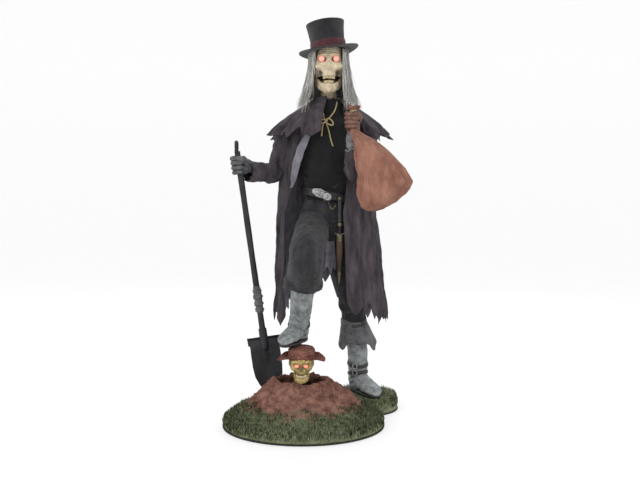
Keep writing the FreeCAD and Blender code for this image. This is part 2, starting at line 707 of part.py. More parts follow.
def build_coat():
    top = CHEST - 8
    hem = GROUND + 270
    share = (top - (hem + 75)) / 975
    sections = [(Vector(FIG_X + dx, FIG_Y, top + dz * share), a, b) for dz, a, b, dx in COAT_PROFILE]
    thick = mm("Sizes.coat_thickness")
    inner = [list(s) for s in sections]
    inner[0][0] = inner[0][0] + UP * 1
    inner[-1][0] = inner[-1][0] - UP * 1
    coat = skin(sections).cut(skin([tuple(s) for s in inner], grow=-thick))
    opening = [
        (-55, top + 60),
        (-45, HIP + 505),
        (-140, HIP + 215),
        (-190, HIP + 70),
        (-195, hem),
        (74, hem),
        (74, HIP + 150),
        (130, SHOULDER - 60),
        (120, top + 60),
    ]
    corners = [Vector(FIG_X + x, FIG_Y - 400, z) for x, z in opening]
    front = Part.Face(Part.makePolygon(corners + corners[:1])).extrude(BACK * 400)
    coat = coat.cut(front)
    for space in arm_clearance(mm("Sizes.layer_gap")):
        coat = coat.cut(space)
    keep(feature("coat_shape", largest(coat)), "coat")

    for name, line, radii in (
        ("sleeve_right", RIGHT_ARM, RIGHT_SLEEVE),
        ("sleeve_left", LEFT_ARM, LEFT_SLEEVE),
    ):
        sleeve = limb(line, radii).cut(rod_along(rounded_path(line, 34), ARM_TUBE + TUBE_GAP))
        sleeve = sleeve.cut(pin(Vector(FIG_X - 300, BAR_Y, SHOULDER), ARM_TUBE + TUBE_GAP, 600, ACROSS))
        body = skin(chest_sections(low=24, collar=60), grow=mm("Sizes.layer_gap + Sizes.shirt_thickness") + 1)
        keep(feature(name + "_shape", largest(sleeve.cut(body))), name)


def largest(shape):
    """The biggest solid of a shape, so that slivers left by a cut go."""
    return max(shape.Solids, key=lambda s: s.Volume)


CAPE_PROFILE = ((0, 76, 73), (-31, 132, 106), (-80, 202, 152), (-122, 252, 186), (-165, 294, 214))


def build_cape():
    top = CHEST + 55
    sections = [(Vector(FIG_X, FIG_Y, top + dz), a, b) for dz, a, b in CAPE_PROFILE]
    inner = [(Vector(FIG_X, FIG_Y, top + dz - 3), a, b) for dz, a, b in CAPE_PROFILE]
    inner[0] = (inner[0][0] + UP * 4, inner[0][1], inner[0][2])
    cape = skin(sections).cut(skin(inner, grow=-4))
    front = block(Vector(FIG_X + 82, FIG_Y - 260, CHEST - 60), 236, 400, 400)
    keep(feature("cape_shape", largest(cape.cut(front))), "capelet")


# Ovals of the seat about the hips, and the lower trouser leg as shares of the leg tube from the hip.
SEAT_PROFILE = ((-42, 96, 72), (0, 128, 84), (60, 122, 82), (104, 108, 77))
SHANK_SHARE, HEM_SHARE = 0.51, 0.65
SHANK_RADIUS, HEM_RADIUS = 56, 50


def build_trousers():
    seat = skin([(Vector(FIG_X, FIG_Y, HIP + dz), a, b) for dz, a, b in SEAT_PROFILE])
    shank = [LEFT_LEG[2] + (LEFT_LEG[1] - LEFT_LEG[2]) * share for share in (SHANK_SHARE, HEM_SHARE)]
    bends = [LEFT_HIP - UP * 10, LEFT_HIP + Vector(12, 4, -190)]
    left = limb([*bends, *shank], (74, 72, SHANK_RADIUS, HEM_RADIUS))
    shin = (ANKLE - KNEE).normalize()
    thigh = (KNEE - RIGHT_HIP).normalize()
    bends = [RIGHT_HIP - BACK * 20, RIGHT_HIP + thigh * 180, KNEE - thigh * 20 - shin * 8]
    right = limb([*bends, KNEE + shin * 70, KNEE + shin * 160], (78, 84, 76, 74, 72))
    trousers = seat.fuse(left).fuse(right)
    clear = TUBE + TUBE_GAP
    for line, bend in ((LEFT_LEG, 150), (RIGHT_LEG, 60)):
        trousers = trousers.cut(rod_along(rounded_path(line, bend), clear))
    hub = block(Vector(FIG_X, FIG_Y, HIP), *[side + 1 for side in HUB])
    trousers = trousers.cut(hub).cut(pin(SPINE_FOOT - UP * 20, clear + 8, 200))
    keep(feature("trousers_shape", largest(trousers)), "trousers")


def build_belt():
    lean = Rotation(BACK, 11)
    middle = Vector(FIG_X, FIG_Y, HIP + 152)
    around = [(Vector(0, 0, z), 130, 101) for z in (-19, 19)]
    inside = [(Vector(0, 0, z), 130, 101) for z in (-20, 20)]
    belt = skin(around).cut(skin(inside, grow=-4))
    belt.Placement = Placement(middle, lean)
    stud_head = pin(DAGGER_PIVOT + FORWARD * 5, 6, 2, FORWARD)
    stud = pin(DAGGER_PIVOT + BACK * 22, 3.92, 30, FORWARD).fuse(stud_head)
    keep(feature("belt_shape", belt.fuse(stud).removeSplitter()), "belt")

    plate = Part.Face(oval(Vector(), 47, 32)).extrude(UP * 7)
    boss = egg(Vector(14, 0, 6), 25, 25, 15)
    buckle = plate.fuse(boss).cut(block(Vector(0, 0, -20), 200, 200, 40))
    buckle.Placement = Placement(BUCKLE, Rotation(BACK, 11).multiply(Rotation(ACROSS, 90)))
    keep(feature("buckle_shape", buckle), "belt_buckle")


BUCKLE = Vector(FIG_X - 28, FIG_Y - 102, HIP + 157)


def build_dagger():
    """A sheathed dagger that hangs from the belt on a strap."""
    top = DAGGER_PIVOT
    eye = pin(top - BACK * 3, 9, 6, BACK).cut(pin(top - BACK * 4, 4, 8, BACK))
    strap = block(top - UP * 62, 12, 4, 108)
    pommel = egg(top - UP * 124, 15, 12, 15)
    grip = pin(top - UP * 172, 10, 46)
    guard = block(top - UP * 172, 46, 14, 8)
    blade = skin([(top - UP * 392, 4, 3), (top - UP * 300, 13, 6), (top - UP * 174, 17, 8)])
    solid = eye.fuse(strap).fuse(pommel).fuse(grip).fuse(guard).fuse(blade)
    keep(feature("dagger_shape", solid.removeSplitter()), "dagger_sheath")


DAGGER_PIVOT = Vector(FIG_X + 50, FIG_Y - 113, HIP + 138)


# ---------------------------------------------------------------- neck and head


def build_neck():
    """A geared motor under the neck: its pinion turns the gear that carries the head."""
    axis = Vector(FIG_X, mm(NECK_Y), CHEST - 8)
    module, width = mm("Sizes.neck_module"), 8
    spread = module * (NECK_TEETH + PINION_TEETH) / 2
    case = block(axis + Vector(0, 16, -22), 54, 74, 44)
    case = case.cut(rod_along(rounded_path(SPINE_LINE, 400), TUBE + TUBE_GAP))
    case = case.fuse(pin(axis - UP, 5, 26)).fuse(pin(axis + Vector(16, 34, -80), 13, 40))
    shaft_at = axis + BACK * spread
    case = case.cut(pin(shaft_at - UP * 12, 2.5 + mm("Sizes.gear_gap"), 30))
    bar = Part.makeCylinder(ARM_TUBE + 1, 800, Vector(FIG_X - 400, BAR_Y, SHOULDER), ACROSS)
    keep(feature("neck_motor_case", case.cut(bar)), "neck_gearmotor")

    pinion = aligned(gear_solid(module, PINION_TEETH, width, 270 + 180 / PINION_TEETH), shaft_at + UP * 3)
    shaft = pin(shaft_at - UP * 11, 2.5, 20)
    keep(feature("neck_pinion_shape", pinion.fuse(shaft).removeSplitter()), "neck_pinion")

    wheel = aligned(gear_solid(module, NECK_TEETH, width, 90), axis + UP * 3)
    post = pin(axis + UP * 3, 14, NECK_POST - 3)
    bore = pin(axis + UP, 5 + mm("Sizes.gear_gap"), 25)
    keep(feature("neck_gear_shape", wheel.fuse(post).cut(bore).removeSplitter()), "neck_gear")


NECK_TEETH, PINION_TEETH, JAW_TEETH = 40, 12, 24
NECK_POST = 74
HEAD_MIDDLE = Vector(FIG_X, mm(HEAD_Y), HEAD)
JAW_PIVOT = HEAD_MIDDLE + Vector(0, 28, -38)
SKULL_PIVOT = SKULL + Vector(0, 18, -34)


def jaw_drive(pivot, half_span, prefix, motor):
    """The gear pair that works a jaw, on the +X end of its hinge pin.

    Returns the jaw's own gear. The pinion sits above the pivot, and its motor hangs on its shaft.
    """
    module = mm("Sizes.jaw_module")
    spread = module * (JAW_TEETH + PINION_TEETH) / 2
    gear_x = pivot.x + half_span + 1
    along = Rotation(UP, ACROSS)
    wheel = gear_solid(module, JAW_TEETH, 5, 180)
    wheel.Placement = Placement(Vector(gear_x, pivot.y, pivot.z), along)
    centre = Vector(gear_x, pivot.y, pivot.z + spread)
    pinion = gear_solid(module, PINION_TEETH, 5, 180 / PINION_TEETH)
    pinion.Placement = Placement(centre, along)
    shaft = pin(centre - ACROSS * 13, 1.5, 17, ACROSS)
    keep(feature(prefix + "_pinion_shape", pinion.fuse(shaft).removeSplitter()), prefix + "_pinion")
    case = block(centre + Vector(-2 - motor / 2, 6, 8), motor, 26, 30)
    can = pin(centre + Vector(-2 - motor, -8, 12), 9, 14, ACROSS * -1)
    case = case.fuse(can).cut(pin(centre - ACROSS * 14, 1.5 + mm("Sizes.gear_gap"), 18, ACROSS))
    keep(feature(prefix + "_motor_case", case.removeSplitter()), prefix + "_motor")
    return wheel


# The mask ends above the lip by this much below the head's middle, clear of the chin when it shuts.
LIP = -46


def build_head():
    a, b, c = (mm(f"Sizes.head_half_{s}") for s in ("width", "depth", "height"))
    wall = mm("Sizes.mask_wall")
    outer, inner = egg(HEAD_MIDDLE, a, b, c), egg(HEAD_MIDDLE, a - wall, b - wall, c - wall)
    shell = outer.cut(inner)
    below = block(HEAD_MIDDLE - UP * (c + 100), 400, 400, 250)
    shell = shell.cut(below)
    for name, side in (("face_shell", -1), ("back_head_shell", 1)):
        half = block(HEAD_MIDDLE + BACK * (8 + side * (200 + TUBE_GAP)), 500, 400, 500)
        piece = shell.common(half)
        if side < 0:
            piece = piece.cut(block(HEAD_MIDDLE + Vector(0, -100, LIP - 50), 108, 170, 100))
            for eye in eyes():
                piece = piece.cut(pin(eye - BACK * 40, mm("Sizes.eye_radius"), 80, BACK))
        keep(feature(name + "_shape", largest(piece)), name)

    lenses = []
    for eye in eyes():
        radius = mm("Sizes.eye_radius - Sizes.tube_gap")
        dome = egg(eye + BACK * 5, radius - 1, 9, radius - 1)
        lenses.append(pin(eye + BACK * 4, radius, 9, BACK).fuse(dome))
    keep(feature("lenses", Part.makeCompound(lenses)), "eye_lenses")

    # The bracket stands on the neck gear's post and carries the jaw's hinge pin.
    foot_z = CHEST - 8 + NECK_POST
    foot = pin(Vector(FIG_X, mm(NECK_Y), foot_z), 24, 4)
    neck_y, back_y, top_z = mm(NECK_Y), JAW_PIVOT.y + 16, HEAD + 60
    upright = block(Vector(FIG_X, back_y, (foot_z + top_z) / 2), 34, 5, top_z - foot_z)
    brace = block(Vector(FIG_X, (neck_y + back_y) / 2, foot_z + 2), 30, abs(back_y - neck_y) + 5, 4)
    carrier = block(Vector(FIG_X, JAW_PIVOT.y + 8, JAW_PIVOT.z), 16, 20, 14)
    hinge = pin(JAW_PIVOT - ACROSS * 47, 3.5, 108, ACROSS)
    bracket = foot.fuse(upright).fuse(brace).fuse(carrier).fuse(hinge)
    keep(feature("bracket_shape", bracket.removeSplitter()), "head_bracket")

    wheel = jaw_drive(JAW_PIVOT, 46, "jaw", 26)
    chin = egg(HEAD_MIDDLE + Vector(0, -46, -86), 38, 44, 34)
    chin = chin.cut(egg(HEAD_MIDDLE + Vector(0, -36, -78), 30, 42, 30))
    chin = chin.cut(block(HEAD_MIDDLE + Vector(0, 40, -90), 200, 120, 200))
    bore = pin(JAW_PIVOT - ACROSS * 60, 3.5 + mm("Sizes.gear_gap"), 130, ACROSS)
    arms = [jaw_arm(JAW_PIVOT, side * 42.5, HEAD_MIDDLE + Vector(side * 33, -38, -82)) for side in (-1, 1)]
    jaw = chin.fuse(arms[0]).fuse(arms[1]).fuse(wheel).fuse(pin(JAW_PIVOT + ACROSS * 45, 6, 3, ACROSS))
    keep(feature("jaw_shape", largest(jaw.cut(bore).removeSplitter())), "jaw")


def jaw_arm(pivot, offset, end):
    """A flat arm from the hinge pin to one corner of the chin."""
    start = pivot + ACROSS * offset
    line = Vector(0, end.y - start.y, end.z - start.z)
    square = Vector(0, -line.z, line.y).normalize() * 7
    corners = [start + square, start - square, start + line - square, start + line + square]
    corners = [c - ACROSS * 3 for c in corners]
    arm = Part.Face(Part.makePolygon(corners + corners[:1])).extrude(ACROSS * 6)
    return arm.fuse(pin(start - ACROSS * 3, 9, 6, ACROSS))


def eyes():
    half = mm("Sizes.eye_spacing / 2")
    a, b, c = (mm(f"Sizes.head_half_{s}") for s in ("width", "depth", "height"))
    lift = 32
    y = -b * math.sqrt(1 - (half / a) ** 2 - (lift / c) ** 2)
    return [HEAD_MIDDLE + Vector(side * half, y, lift) for side in (-1, 1)]


def build_hat():
    """A felt top hat, and a ribbon round the foot of its crown."""
    wall, height = mm("Sizes.hat_wall"), mm("Sizes.hat_height")
    lean = Rotation(BACK, -mm("Sizes.hat_tilt")).multiply(Rotation(ACROSS, -2))
    spot = Placement(HEAD_MIDDLE + Vector(0, -2, 82), lean)
    crown = [(Vector(0, 0, 0), 79, 92), (Vector(0, 0, height * 0.4), 80, 92), (Vector(0, 0, height), 91, 99)]
    inside = [(c - UP * wall, a, b) for c, a, b in crown]
    reach = mm("Sizes.brim_half_width")
    brim = Part.Face(oval(Vector(), reach, reach + 12)).extrude(UP * wall)
    hat = skin(crown).fuse(brim).cut(skin(inside, grow=-wall))
    hat.Placement = spot
    keep(feature("top_hat_shape", hat.removeSplitter()), "top_hat")
    ring = [(Vector(0, 0, wall + 0.4), 79.6, 92), (Vector(0, 0, wall + 27), 80.4, 92)]
    band = skin(ring, grow=2.6).cut(skin(ring, grow=0.7))
    band.Placement = spot
    keep(feature("hat_band_shape", band), "hat_band")


# Ovals of the hair about the head's middle: height, half width, half depth.
WIG_PROFILE = ((66, 88, 106), (0, 94, 110), (-100, 112, 108), (-158, 134, 122))


def build_wig():
    """Long hair that hangs from under the hat, open in front of the face."""
    sections = [(HEAD_MIDDLE + Vector(0, 10, dz), a, b) for dz, a, b in WIG_PROFILE]
    (top, *top_sides), *middle, (hem, *hem_sides) = sections
    inner = [(top + UP * 2, *top_sides), *middle, (hem - UP * 2, *hem_sides)]
    wig = skin(sections).cut(skin(inner, grow=-6))
    wig = wig.cut(block(HEAD_MIDDLE + Vector(0, -140, -40), 128, 200, 400))
    wig = wig.cut(egg(HEAD_MIDDLE, *[mm(f"Sizes.head_half_{s}") + 1 for s in ("width", "depth", "height")]))
    keep(feature("wig_shape", largest(wig)), "wig")


# ---------------------------------------------------------------- buried skull


def build_skull():
    a, b, c = (mm(f"Sizes.skull_half_{s}") for s in ("width", "depth", "height"))
    wall = mm("Sizes.mask_wall")
    cranium = egg(SKULL, a, b, c).fuse(egg(SKULL + Vector(0, -42, -38), 32, 28, 26))
    hollow = egg(SKULL, a - wall, b - wall, c - wall)
    cranium = cranium.cut(hollow).cut(block(SKULL - UP * 102, 300, 300, 100))
    cranium = cranium.cut(block(SKULL + Vector(0, 20, -60), 300, 96, 70))
    for eye in skull_eyes():
        cranium = cranium.cut(pin(eye - BACK * 30, 15, 44, BACK))
    keep(feature("cranium_shape", largest(cranium)), "skull_cranium")
    lenses = []
    for eye in skull_eyes():
        lenses.append(pin(eye + BACK * 6, 14.6, 8, BACK).fuse(egg(eye + BACK * 4, 9, 9, 9)).removeSplitter())
    keep(feature("skull_lenses", Part.makeCompound(lenses)), "skull_eye_lenses")

    # The hat's brim is turned up on three sides, so from above it has three corners.
    low, top = SKULL + Vector(0, 6, 24), SKULL.z + mm("Sizes.skull_hat_height")
    turns = [math.radians(turn) for turn in (0, 115, 245)]
    corners = [low + Vector(112 * math.sin(turn), 100 * math.cos(turn), 0) for turn in turns]
    edges = []
    for start, end in zip(corners, corners[1:] + corners[:1]):
        out = ((start + end) * 0.5 - low).normalize()
        edges.append(Part.Arc(start, low + out * 78, end).toShape())
    brim = Part.Face(Part.Wire(edges)).extrude(UP * 14)
    crown = skin([(low - BACK * 6 + UP * 4, a + 7, b + 5), (Vector(SKULL.x, SKULL.y, top), a - 3, b - 8)])
    hat = brim.fuse(crown).cut(egg(SKULL, a + 1, b + 1, c + 1))
    keep(feature("skull_hat_shape", largest(hat)), "skull_hat")

    foot_z = mm(PLATE_TOP)
    post_at = Vector(SKULL.x, SKULL.y + 34, foot_z)
    foot = pin(post_at, 26, 4)
    post = pin(post_at, 10, SKULL.z - 16 - foot_z)
    carrier_y, reach = (post_at.y + SKULL_PIVOT.y) / 2, abs(post_at.y - SKULL_PIVOT.y) + 10
    carrier = block(Vector(SKULL.x, carrier_y, SKULL_PIVOT.z), 16, reach, 10)
    hinge = pin(SKULL_PIVOT - ACROSS * 34, 2.5, 77, ACROSS)
    bracket = foot.fuse(post).fuse(carrier).fuse(hinge)
    keep(feature("skull_bracket_shape", bracket.removeSplitter()), "skull_bracket")

    wheel = jaw_drive(SKULL_PIVOT, 33, "skull", 16)
    chin = egg(SKULL + Vector(0, -42, -62), 30, 30, 22).cut(egg(SKULL + Vector(0, -34, -54), 23, 27, 20))
    chin = chin.cut(block(SKULL + Vector(0, -40, -40), 200, 200, 30))
    chin = chin.cut(block(SKULL + Vector(0, 30, -60), 200, 120, 100))
    bore = pin(SKULL_PIVOT - ACROSS * 60, 2.5 + mm("Sizes.gear_gap"), 120, ACROSS)
    arms = [jaw_arm(SKULL_PIVOT, side * 29, SKULL + Vector(side * 24, -34, -62)) for side in (-1, 1)]
    jaw = chin.fuse(arms[0]).fuse(arms[1]).fuse(wheel).fuse(pin(SKULL_PIVOT + ACROSS * 31, 6, 4, ACROSS))
    keep(feature("skull_jaw_shape", largest(jaw.cut(bore).removeSplitter())), "skull_jaw")


def skull_eyes():
    half, lift = 20, -6
    a, b, c = (mm(f"Sizes.skull_half_{s}") for s in ("width", "depth", "height"))
    y = -b * math.sqrt(1 - (half / a) ** 2 - (lift / c) ** 2)
    return [SKULL + Vector(side * half, y + 6, lift) for side in (-1, 1)]


# ---------------------------------------------------------------- boots and hands

LEFT_TURN, RIGHT_TURN = 24.0, -19.0


def boot_outline(grow=0.0):
    """The face of a sole about the ankle, pointing to -Y."""
    half, length = mm("Sizes.boot_half_width"), mm("Sizes.boot_length")
    return Part.Face(oval(FORWARD * (length / 2 - HEEL), half + 1 + grow, length / 2 + 1 + grow))


HEEL, INSTEP = 62, 62


def boot_solid(ankle, sole_z, turn_deg, shaft_points, shaft_radii):
    """A boot: a foot that points to -Y, turned about the ankle, and a shaft along the leg."""
    length, half = mm("Sizes.boot_length"), mm("Sizes.boot_half_width")
    middle = FORWARD * (length / 2 - HEEL)
    foot = egg(middle, half, length / 2, INSTEP).common(block(middle + UP * 60, 300, 500, 120))
    boot = foot.fuse(boot_outline().extrude(UP * 14))
    boot.Placement = Placement(Vector(ankle.x, ankle.y, sole_z), Rotation(UP, turn_deg))
    return boot.fuse(limb(shaft_points, shaft_radii))


def build_boots():
    radius = mm("Sizes.boot_shaft_radius")
    sole = Vector(LEFT_POST.x, LEFT_POST.y, GROUND)
    line = [sole + UP * rise for rise in (24, 90, 180, 285)]
    radii = (radius - 4, radius - 3, radius, radius + 3)
    left = boot_solid(LEFT_POST, GROUND + TUBE_GAP, LEFT_TURN, line, radii)
    clear = TUBE + TUBE_GAP
    socket = pin(LEFT_POST, clear + mm("Sizes.socket_wall") + 1, mm("Sizes.socket_height") + 2)
    left = left.cut(rod_along(rounded_path(LEFT_LEG, 150), clear)).cut(socket)
    keep(feature("boot_left_shape", largest(left)), "boot_left")

    shin = (KNEE - ANKLE).normalize()
    line = [ANKLE - UP * 40, ANKLE + UP * 6 + shin * 14, ANKLE + shin * 110, ANKLE + shin * 190]
    right = boot_solid(ANKLE, SOLE, RIGHT_TURN, line, (radius - 6, radius - 3, radius, radius + 2))
    right = right.cut(rod_along(rounded_path(RIGHT_LEG, 60), clear))
    keep(feature("boot_right_shape", largest(right)), "boot_right")

    # A turned-down leather cuff grips the trouser leg and flares down over the standing boot.
    low_z = GROUND + 214
    high_z = low_z + mm("Sizes.cuff_height")
    share = (LEFT_LEG[2].z - high_z) / (LEFT_LEG[2].z - LEFT_LEG[1].z)
    high = LEFT_LEG[2] + (LEFT_LEG[1] - LEFT_LEG[2]) * share
    low = Vector(LEFT_POST.x - 2, LEFT_POST.y, low_z)
    wall = mm("Sizes.cuff_wall")
    slope = (share - SHANK_SHARE) / (HEM_SHARE - SHANK_SHARE)
    grip = SHANK_RADIUS + (HEM_RADIUS - SHANK_RADIUS) * slope + JOINT_SWELL + wall
    cuff = skin([(low, 92, 82), (high, grip, grip)])
    inside = skin([(low - UP, 92, 82), (high + UP, grip, grip)], grow=-wall)
    keep(feature("cuff_shape", cuff.cut(inside)), "boot_cuff")


def build_hands():
    """Two gloved fists with the wrist tube and what they hold bored through."""
    gap = mm("Sizes.grip_gap")
    palm = limb([GRIP + Vector(14, 20, -3), GRIP + Vector(34, 52, -4)], (30, 30))
    fist = egg(GRIP + Vector(6, 6, -2), 40, 40, 44).fuse(palm)
    shaft = pin(BLADE_TIP, mm("Sizes.shovel_radius") + gap, 2000, SHOVEL_LINE)
    wrist = rod_along(rounded_path(RIGHT_ARM, 34), ARM_TUBE + TUBE_GAP)
    sleeve = limb(RIGHT_ARM, RIGHT_SLEEVE, 0.5)
    keep(feature("hand_right_shape", largest(fist.cut(shaft).cut(wrist).cut(sleeve))), "hand_right")

    palm = limb([FIST + Vector(1, 8, -20), FIST + Vector(2, 30, -52)], (28, 28))
    fist = egg(FIST, 36, 34, 38).fuse(palm)
    neck = skin(sack_sections(), grow=gap)
    wrist = rod_along(rounded_path(LEFT_ARM, 34), ARM_TUBE + TUBE_GAP)
    sleeve = limb(LEFT_ARM, LEFT_SLEEVE, 0.5)
    keep(feature("hand_left_shape", largest(fist.cut(neck).cut(wrist).cut(sleeve))), "hand_left")


# ---------------------------------------------------------------- sack, shovel and cords


def sack_sections():
    """Ovals of the sack: its gathered mouth above the fist, its neck, and the full bag below.

    Each row is height from the fist, half width, half depth, and drift along X and Y.
    """
    drop = (
        (62, 30, 26, 2, 0),
        (40, 13, 13, 1, 0),
        (-32, 13, 13, 0, -8),
        (-62, 30, 18, 20, -32),
        (-104, 54, 40, 62, -56),
        (-180, 86, 56, 102, -68),
        (-240, 112, 68, 128, -68),
        (-275, 120, 70, 138, -66),
        (-330, 102, 60, 122, -62),
        (-385, 56, 40, 86, -58),
        (-402, 22, 16, 80, -58),
    )
    return [(FIST + Vector(dx, dy, dz), a, b) for dz, a, b, dx, dy in drop]


def build_sack():
    keep(feature("sack_shape", skin(sack_sections()[::-1])), "sack")


def build_shovel():
    radius = mm("Sizes.shovel_radius")
    top = GRIP + SHOVEL_LINE * 62
    joint = BLADE_TIP + SHOVEL_LINE * mm("Sizes.blade_length")
    shaft = pin(joint - SHOVEL_LINE * 12, radius, (top - joint).Length + 12, SHOVEL_LINE)
    ring = Part.makeTorus(19, 7, top + SHOVEL_LINE * 20, SHOVEL_LINE.cross(BACK))
    keep(feature("shovel_handle_shape", shaft.fuse(ring).removeSplitter()), "shovel_handle")

    half, length, thick = mm("Sizes.blade_width / 2"), mm("Sizes.blade_length"), mm("Sizes.blade_thickness")
    shoulder = half - 4
    top_left, top_right = Vector(-half, 0, length), Vector(half, 0, length)
    left, right = Vector(-shoulder, 0, length * 0.5), Vector(shoulder, 0, length * 0.5)
    round_left, round_right = Vector(-half * 0.62, 0, length * 0.16), Vector(half * 0.62, 0, length * 0.16)
    outline = Part.Wire(
        [
            Part.LineSegment(top_left, top_right).toShape(),
            Part.LineSegment(top_right, right).toShape(),
            Part.Arc(right, round_right, Vector()).toShape(),
            Part.Arc(Vector(), round_left, left).toShape(),
            Part.LineSegment(left, top_left).toShape(),
        ]
    )
    blade = Part.Face(outline).extrude(BACK * thick)
    collar = pin(Vector(0, thick / 2, length - 60), radius + 5, 96)
    blade = blade.fuse(collar)
    blade = blade.cut(pin(Vector(0, thick / 2, length - 13), radius + mm("Sizes.grip_gap"), 200))
    blade.Placement = Placement(BLADE_TIP - BACK * thick / 2, Rotation(UP, SHOVEL_LINE))
    keep(feature("shovel_blade_shape", blade.removeSplitter()), "shovel_blade")


def cord_routes():
    """The two twines that tie the cape, each from under the hair to its free end."""
    front = FIG_Y - 78
    knot = Vector(FIG_X - 18, front - 14, CHEST - 46)
    first = [
        Vector(FIG_X - 30, front + 8, CHEST + 42),
        Vector(FIG_X - 29, front - 1, CHEST + 12),
        Vector(FIG_X - 26, front - 10, CHEST - 16),
        knot + Vector(-3, -2, 12),
        knot + Vector(8, -4, -16),
        knot + Vector(20, -4, -50),
        knot + Vector(26, -7, -86),
        knot + Vector(37, -10, -116),
    ]
    second = [
        Vector(FIG_X + 38, front + 10, CHEST + 42),
        Vector(FIG_X + 33, front - 2, CHEST + 10),
        Vector(FIG_X + 14, front - 13, CHEST - 20),
        knot + Vector(10, -10, 4),
        knot + Vector(-8, -10, -12),
        knot + Vector(-13, -6, -40),
        knot + Vector(-15, -7, -70),
    ]
    return first, second


def build_cords():
    radius = mm("Sizes.cord_radius")
    for name, route in zip(("cape_cord_right", "cape_cord_left"), cord_routes()):
        path = rounded_path(route)
        cord = rod_along(path, radius)
        bends = [round(e.Curve.Radius, 1) for e in path.Edges if e.Curve.TypeId == "Part::GeomCircle"]
        ratio = cord.Volume / (math.pi * radius**2 * path.Length)
        print(f"{name}: length {path.Length:.1f} mm, bend radii {bends}, volume share {ratio:.4f}")
        keep(feature(name + "_shape", cord), name)


def write_parts():
    """Recomputes, checks every object and every sub-part, and writes one STEP file for each."""
    doc.recompute()
    faults = [f"{o.Name} {o.State}" for o in doc.Objects if {"Invalid", "Error"} & set(o.State)]
    for piece in kept:
        shape = piece.Shape
        if shape.isNull() or not shape.Solids or not shape.isValid():
            faults.append(f"{piece.Label} has no valid solid")
        elif any(s.Volume <= 0 for s in shape.Solids):
            faults.append(f"{piece.Label} has a solid with no volume")
    if faults:
        raise SystemExit("\n".join(faults))
    os.makedirs("parts", exist_ok=True)
    for piece in kept:
        solids = piece.Shape.Solids
        shape = solids[0] if len(solids) == 1 else Part.makeCompound(solids)
        shape.exportStep(f"parts/{piece.Label}.step")
    print(len(kept), "sub-parts written")


build_base()
build_sockets()
build_controls()
build_frame()
build_torso()
build_coat()
build_cape()
build_trousers()
build_belt()
build_dagger()
build_neck()
build_head()
build_hat()
build_wig()
build_skull()
build_boots()
build_hands()
build_sack()
build_shovel()
build_cords()
write_parts()
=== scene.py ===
# %% [markdown]
# # A grave digger figure, finished in Blender
# The figure's frame, joints and sizes are already settled in CAD. Here the plain solids get their
# looks: cloth that is torn and creased, hair, leather, bone, iron and a mound of dirt with grass on it.
# Every new piece is a surface worked out with numpy and placed in the CAD frame in metres, and each of the
# figure's pieces but the hair is told which CAD body it rides on.

# %% Load the frame
import bmesh
import bpy
import json
import math
import numpy as np
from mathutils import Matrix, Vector

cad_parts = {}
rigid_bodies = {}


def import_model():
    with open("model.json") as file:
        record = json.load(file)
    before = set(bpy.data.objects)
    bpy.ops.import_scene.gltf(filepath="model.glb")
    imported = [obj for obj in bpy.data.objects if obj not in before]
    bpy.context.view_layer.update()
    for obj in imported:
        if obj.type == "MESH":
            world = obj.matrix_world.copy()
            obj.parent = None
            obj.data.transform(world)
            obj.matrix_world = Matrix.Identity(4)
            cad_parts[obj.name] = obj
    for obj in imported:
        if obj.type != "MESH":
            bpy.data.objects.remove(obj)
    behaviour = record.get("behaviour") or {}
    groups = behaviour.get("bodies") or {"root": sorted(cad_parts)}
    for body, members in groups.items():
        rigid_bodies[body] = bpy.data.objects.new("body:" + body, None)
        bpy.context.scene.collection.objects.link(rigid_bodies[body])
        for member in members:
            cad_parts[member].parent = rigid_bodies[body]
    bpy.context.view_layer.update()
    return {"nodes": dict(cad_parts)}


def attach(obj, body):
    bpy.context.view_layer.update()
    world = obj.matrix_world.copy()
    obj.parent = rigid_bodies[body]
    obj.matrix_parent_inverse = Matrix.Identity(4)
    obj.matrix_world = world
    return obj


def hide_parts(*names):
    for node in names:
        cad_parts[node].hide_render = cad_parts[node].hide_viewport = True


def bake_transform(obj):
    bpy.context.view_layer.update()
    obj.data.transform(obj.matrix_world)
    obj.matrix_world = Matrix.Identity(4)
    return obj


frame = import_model()

# %% [markdown]
# ## Stage, light and camera
# A figure like this is shown on plain pale paper under large soft lights, so every crease reads and no
# shadow is hard. The lens stands at chest height, about two body heights away, tipped down a little.

# %% Stage
MM = 0.001
told = {piece.name for piece in bpy.data.objects}


def made():
    """Prints the meshes that are new since the last call, with their numbers of points."""
    fresh = [piece for piece in bpy.data.objects if piece.type == "MESH" and piece.name not in told]
    told.update(piece.name for piece in fresh)
    print("made", ", ".join(f"{piece.name} {len(piece.data.vertices)}" for piece in fresh) or "a helper")


def linear(code):
    """An sRGB hex colour as linear red, green and blue: each channel c becomes ((c + 0.055) /
    1.055) ** 2.4.
    """
    channels = np.array([int(code[i : i + 2], 16) for i in (1, 3, 5)]) / 255
    low, high = channels / 12.92, ((channels + 0.055) / 1.055) ** 2.4
    return (*np.where(channels <= 0.04045, low, high).tolist(), 1.0)


def soft_light(name, place, aim, width, power, colour="#ffffff"):
    """A square area light at a place, turned towards a point. All in metres and watts."""
    lamp = bpy.data.lights.new(name, "AREA")
    lamp.size = width
    lamp.energy = power
    lamp.color = linear(colour)[:3]
    holder = bpy.data.objects.new(name, lamp)
    bpy.context.collection.objects.link(holder)
    holder.location = place
    direction = Vector(aim) - Vector(place)
    holder.rotation_euler = direction.to_track_quat("-Z", "Y").to_euler()
    return holder


middle = (0.04, 0.1, 0.95)
soft_light("key_light", (-2.3, -3.2, 3.3), middle, 2.4, 62)
soft_light("fill_light", (2.9, -2.6, 2.1), middle, 2.6, 24)
soft_light("rim_light", (0.6, 3.2, 3.2), middle, 2.4, 40)

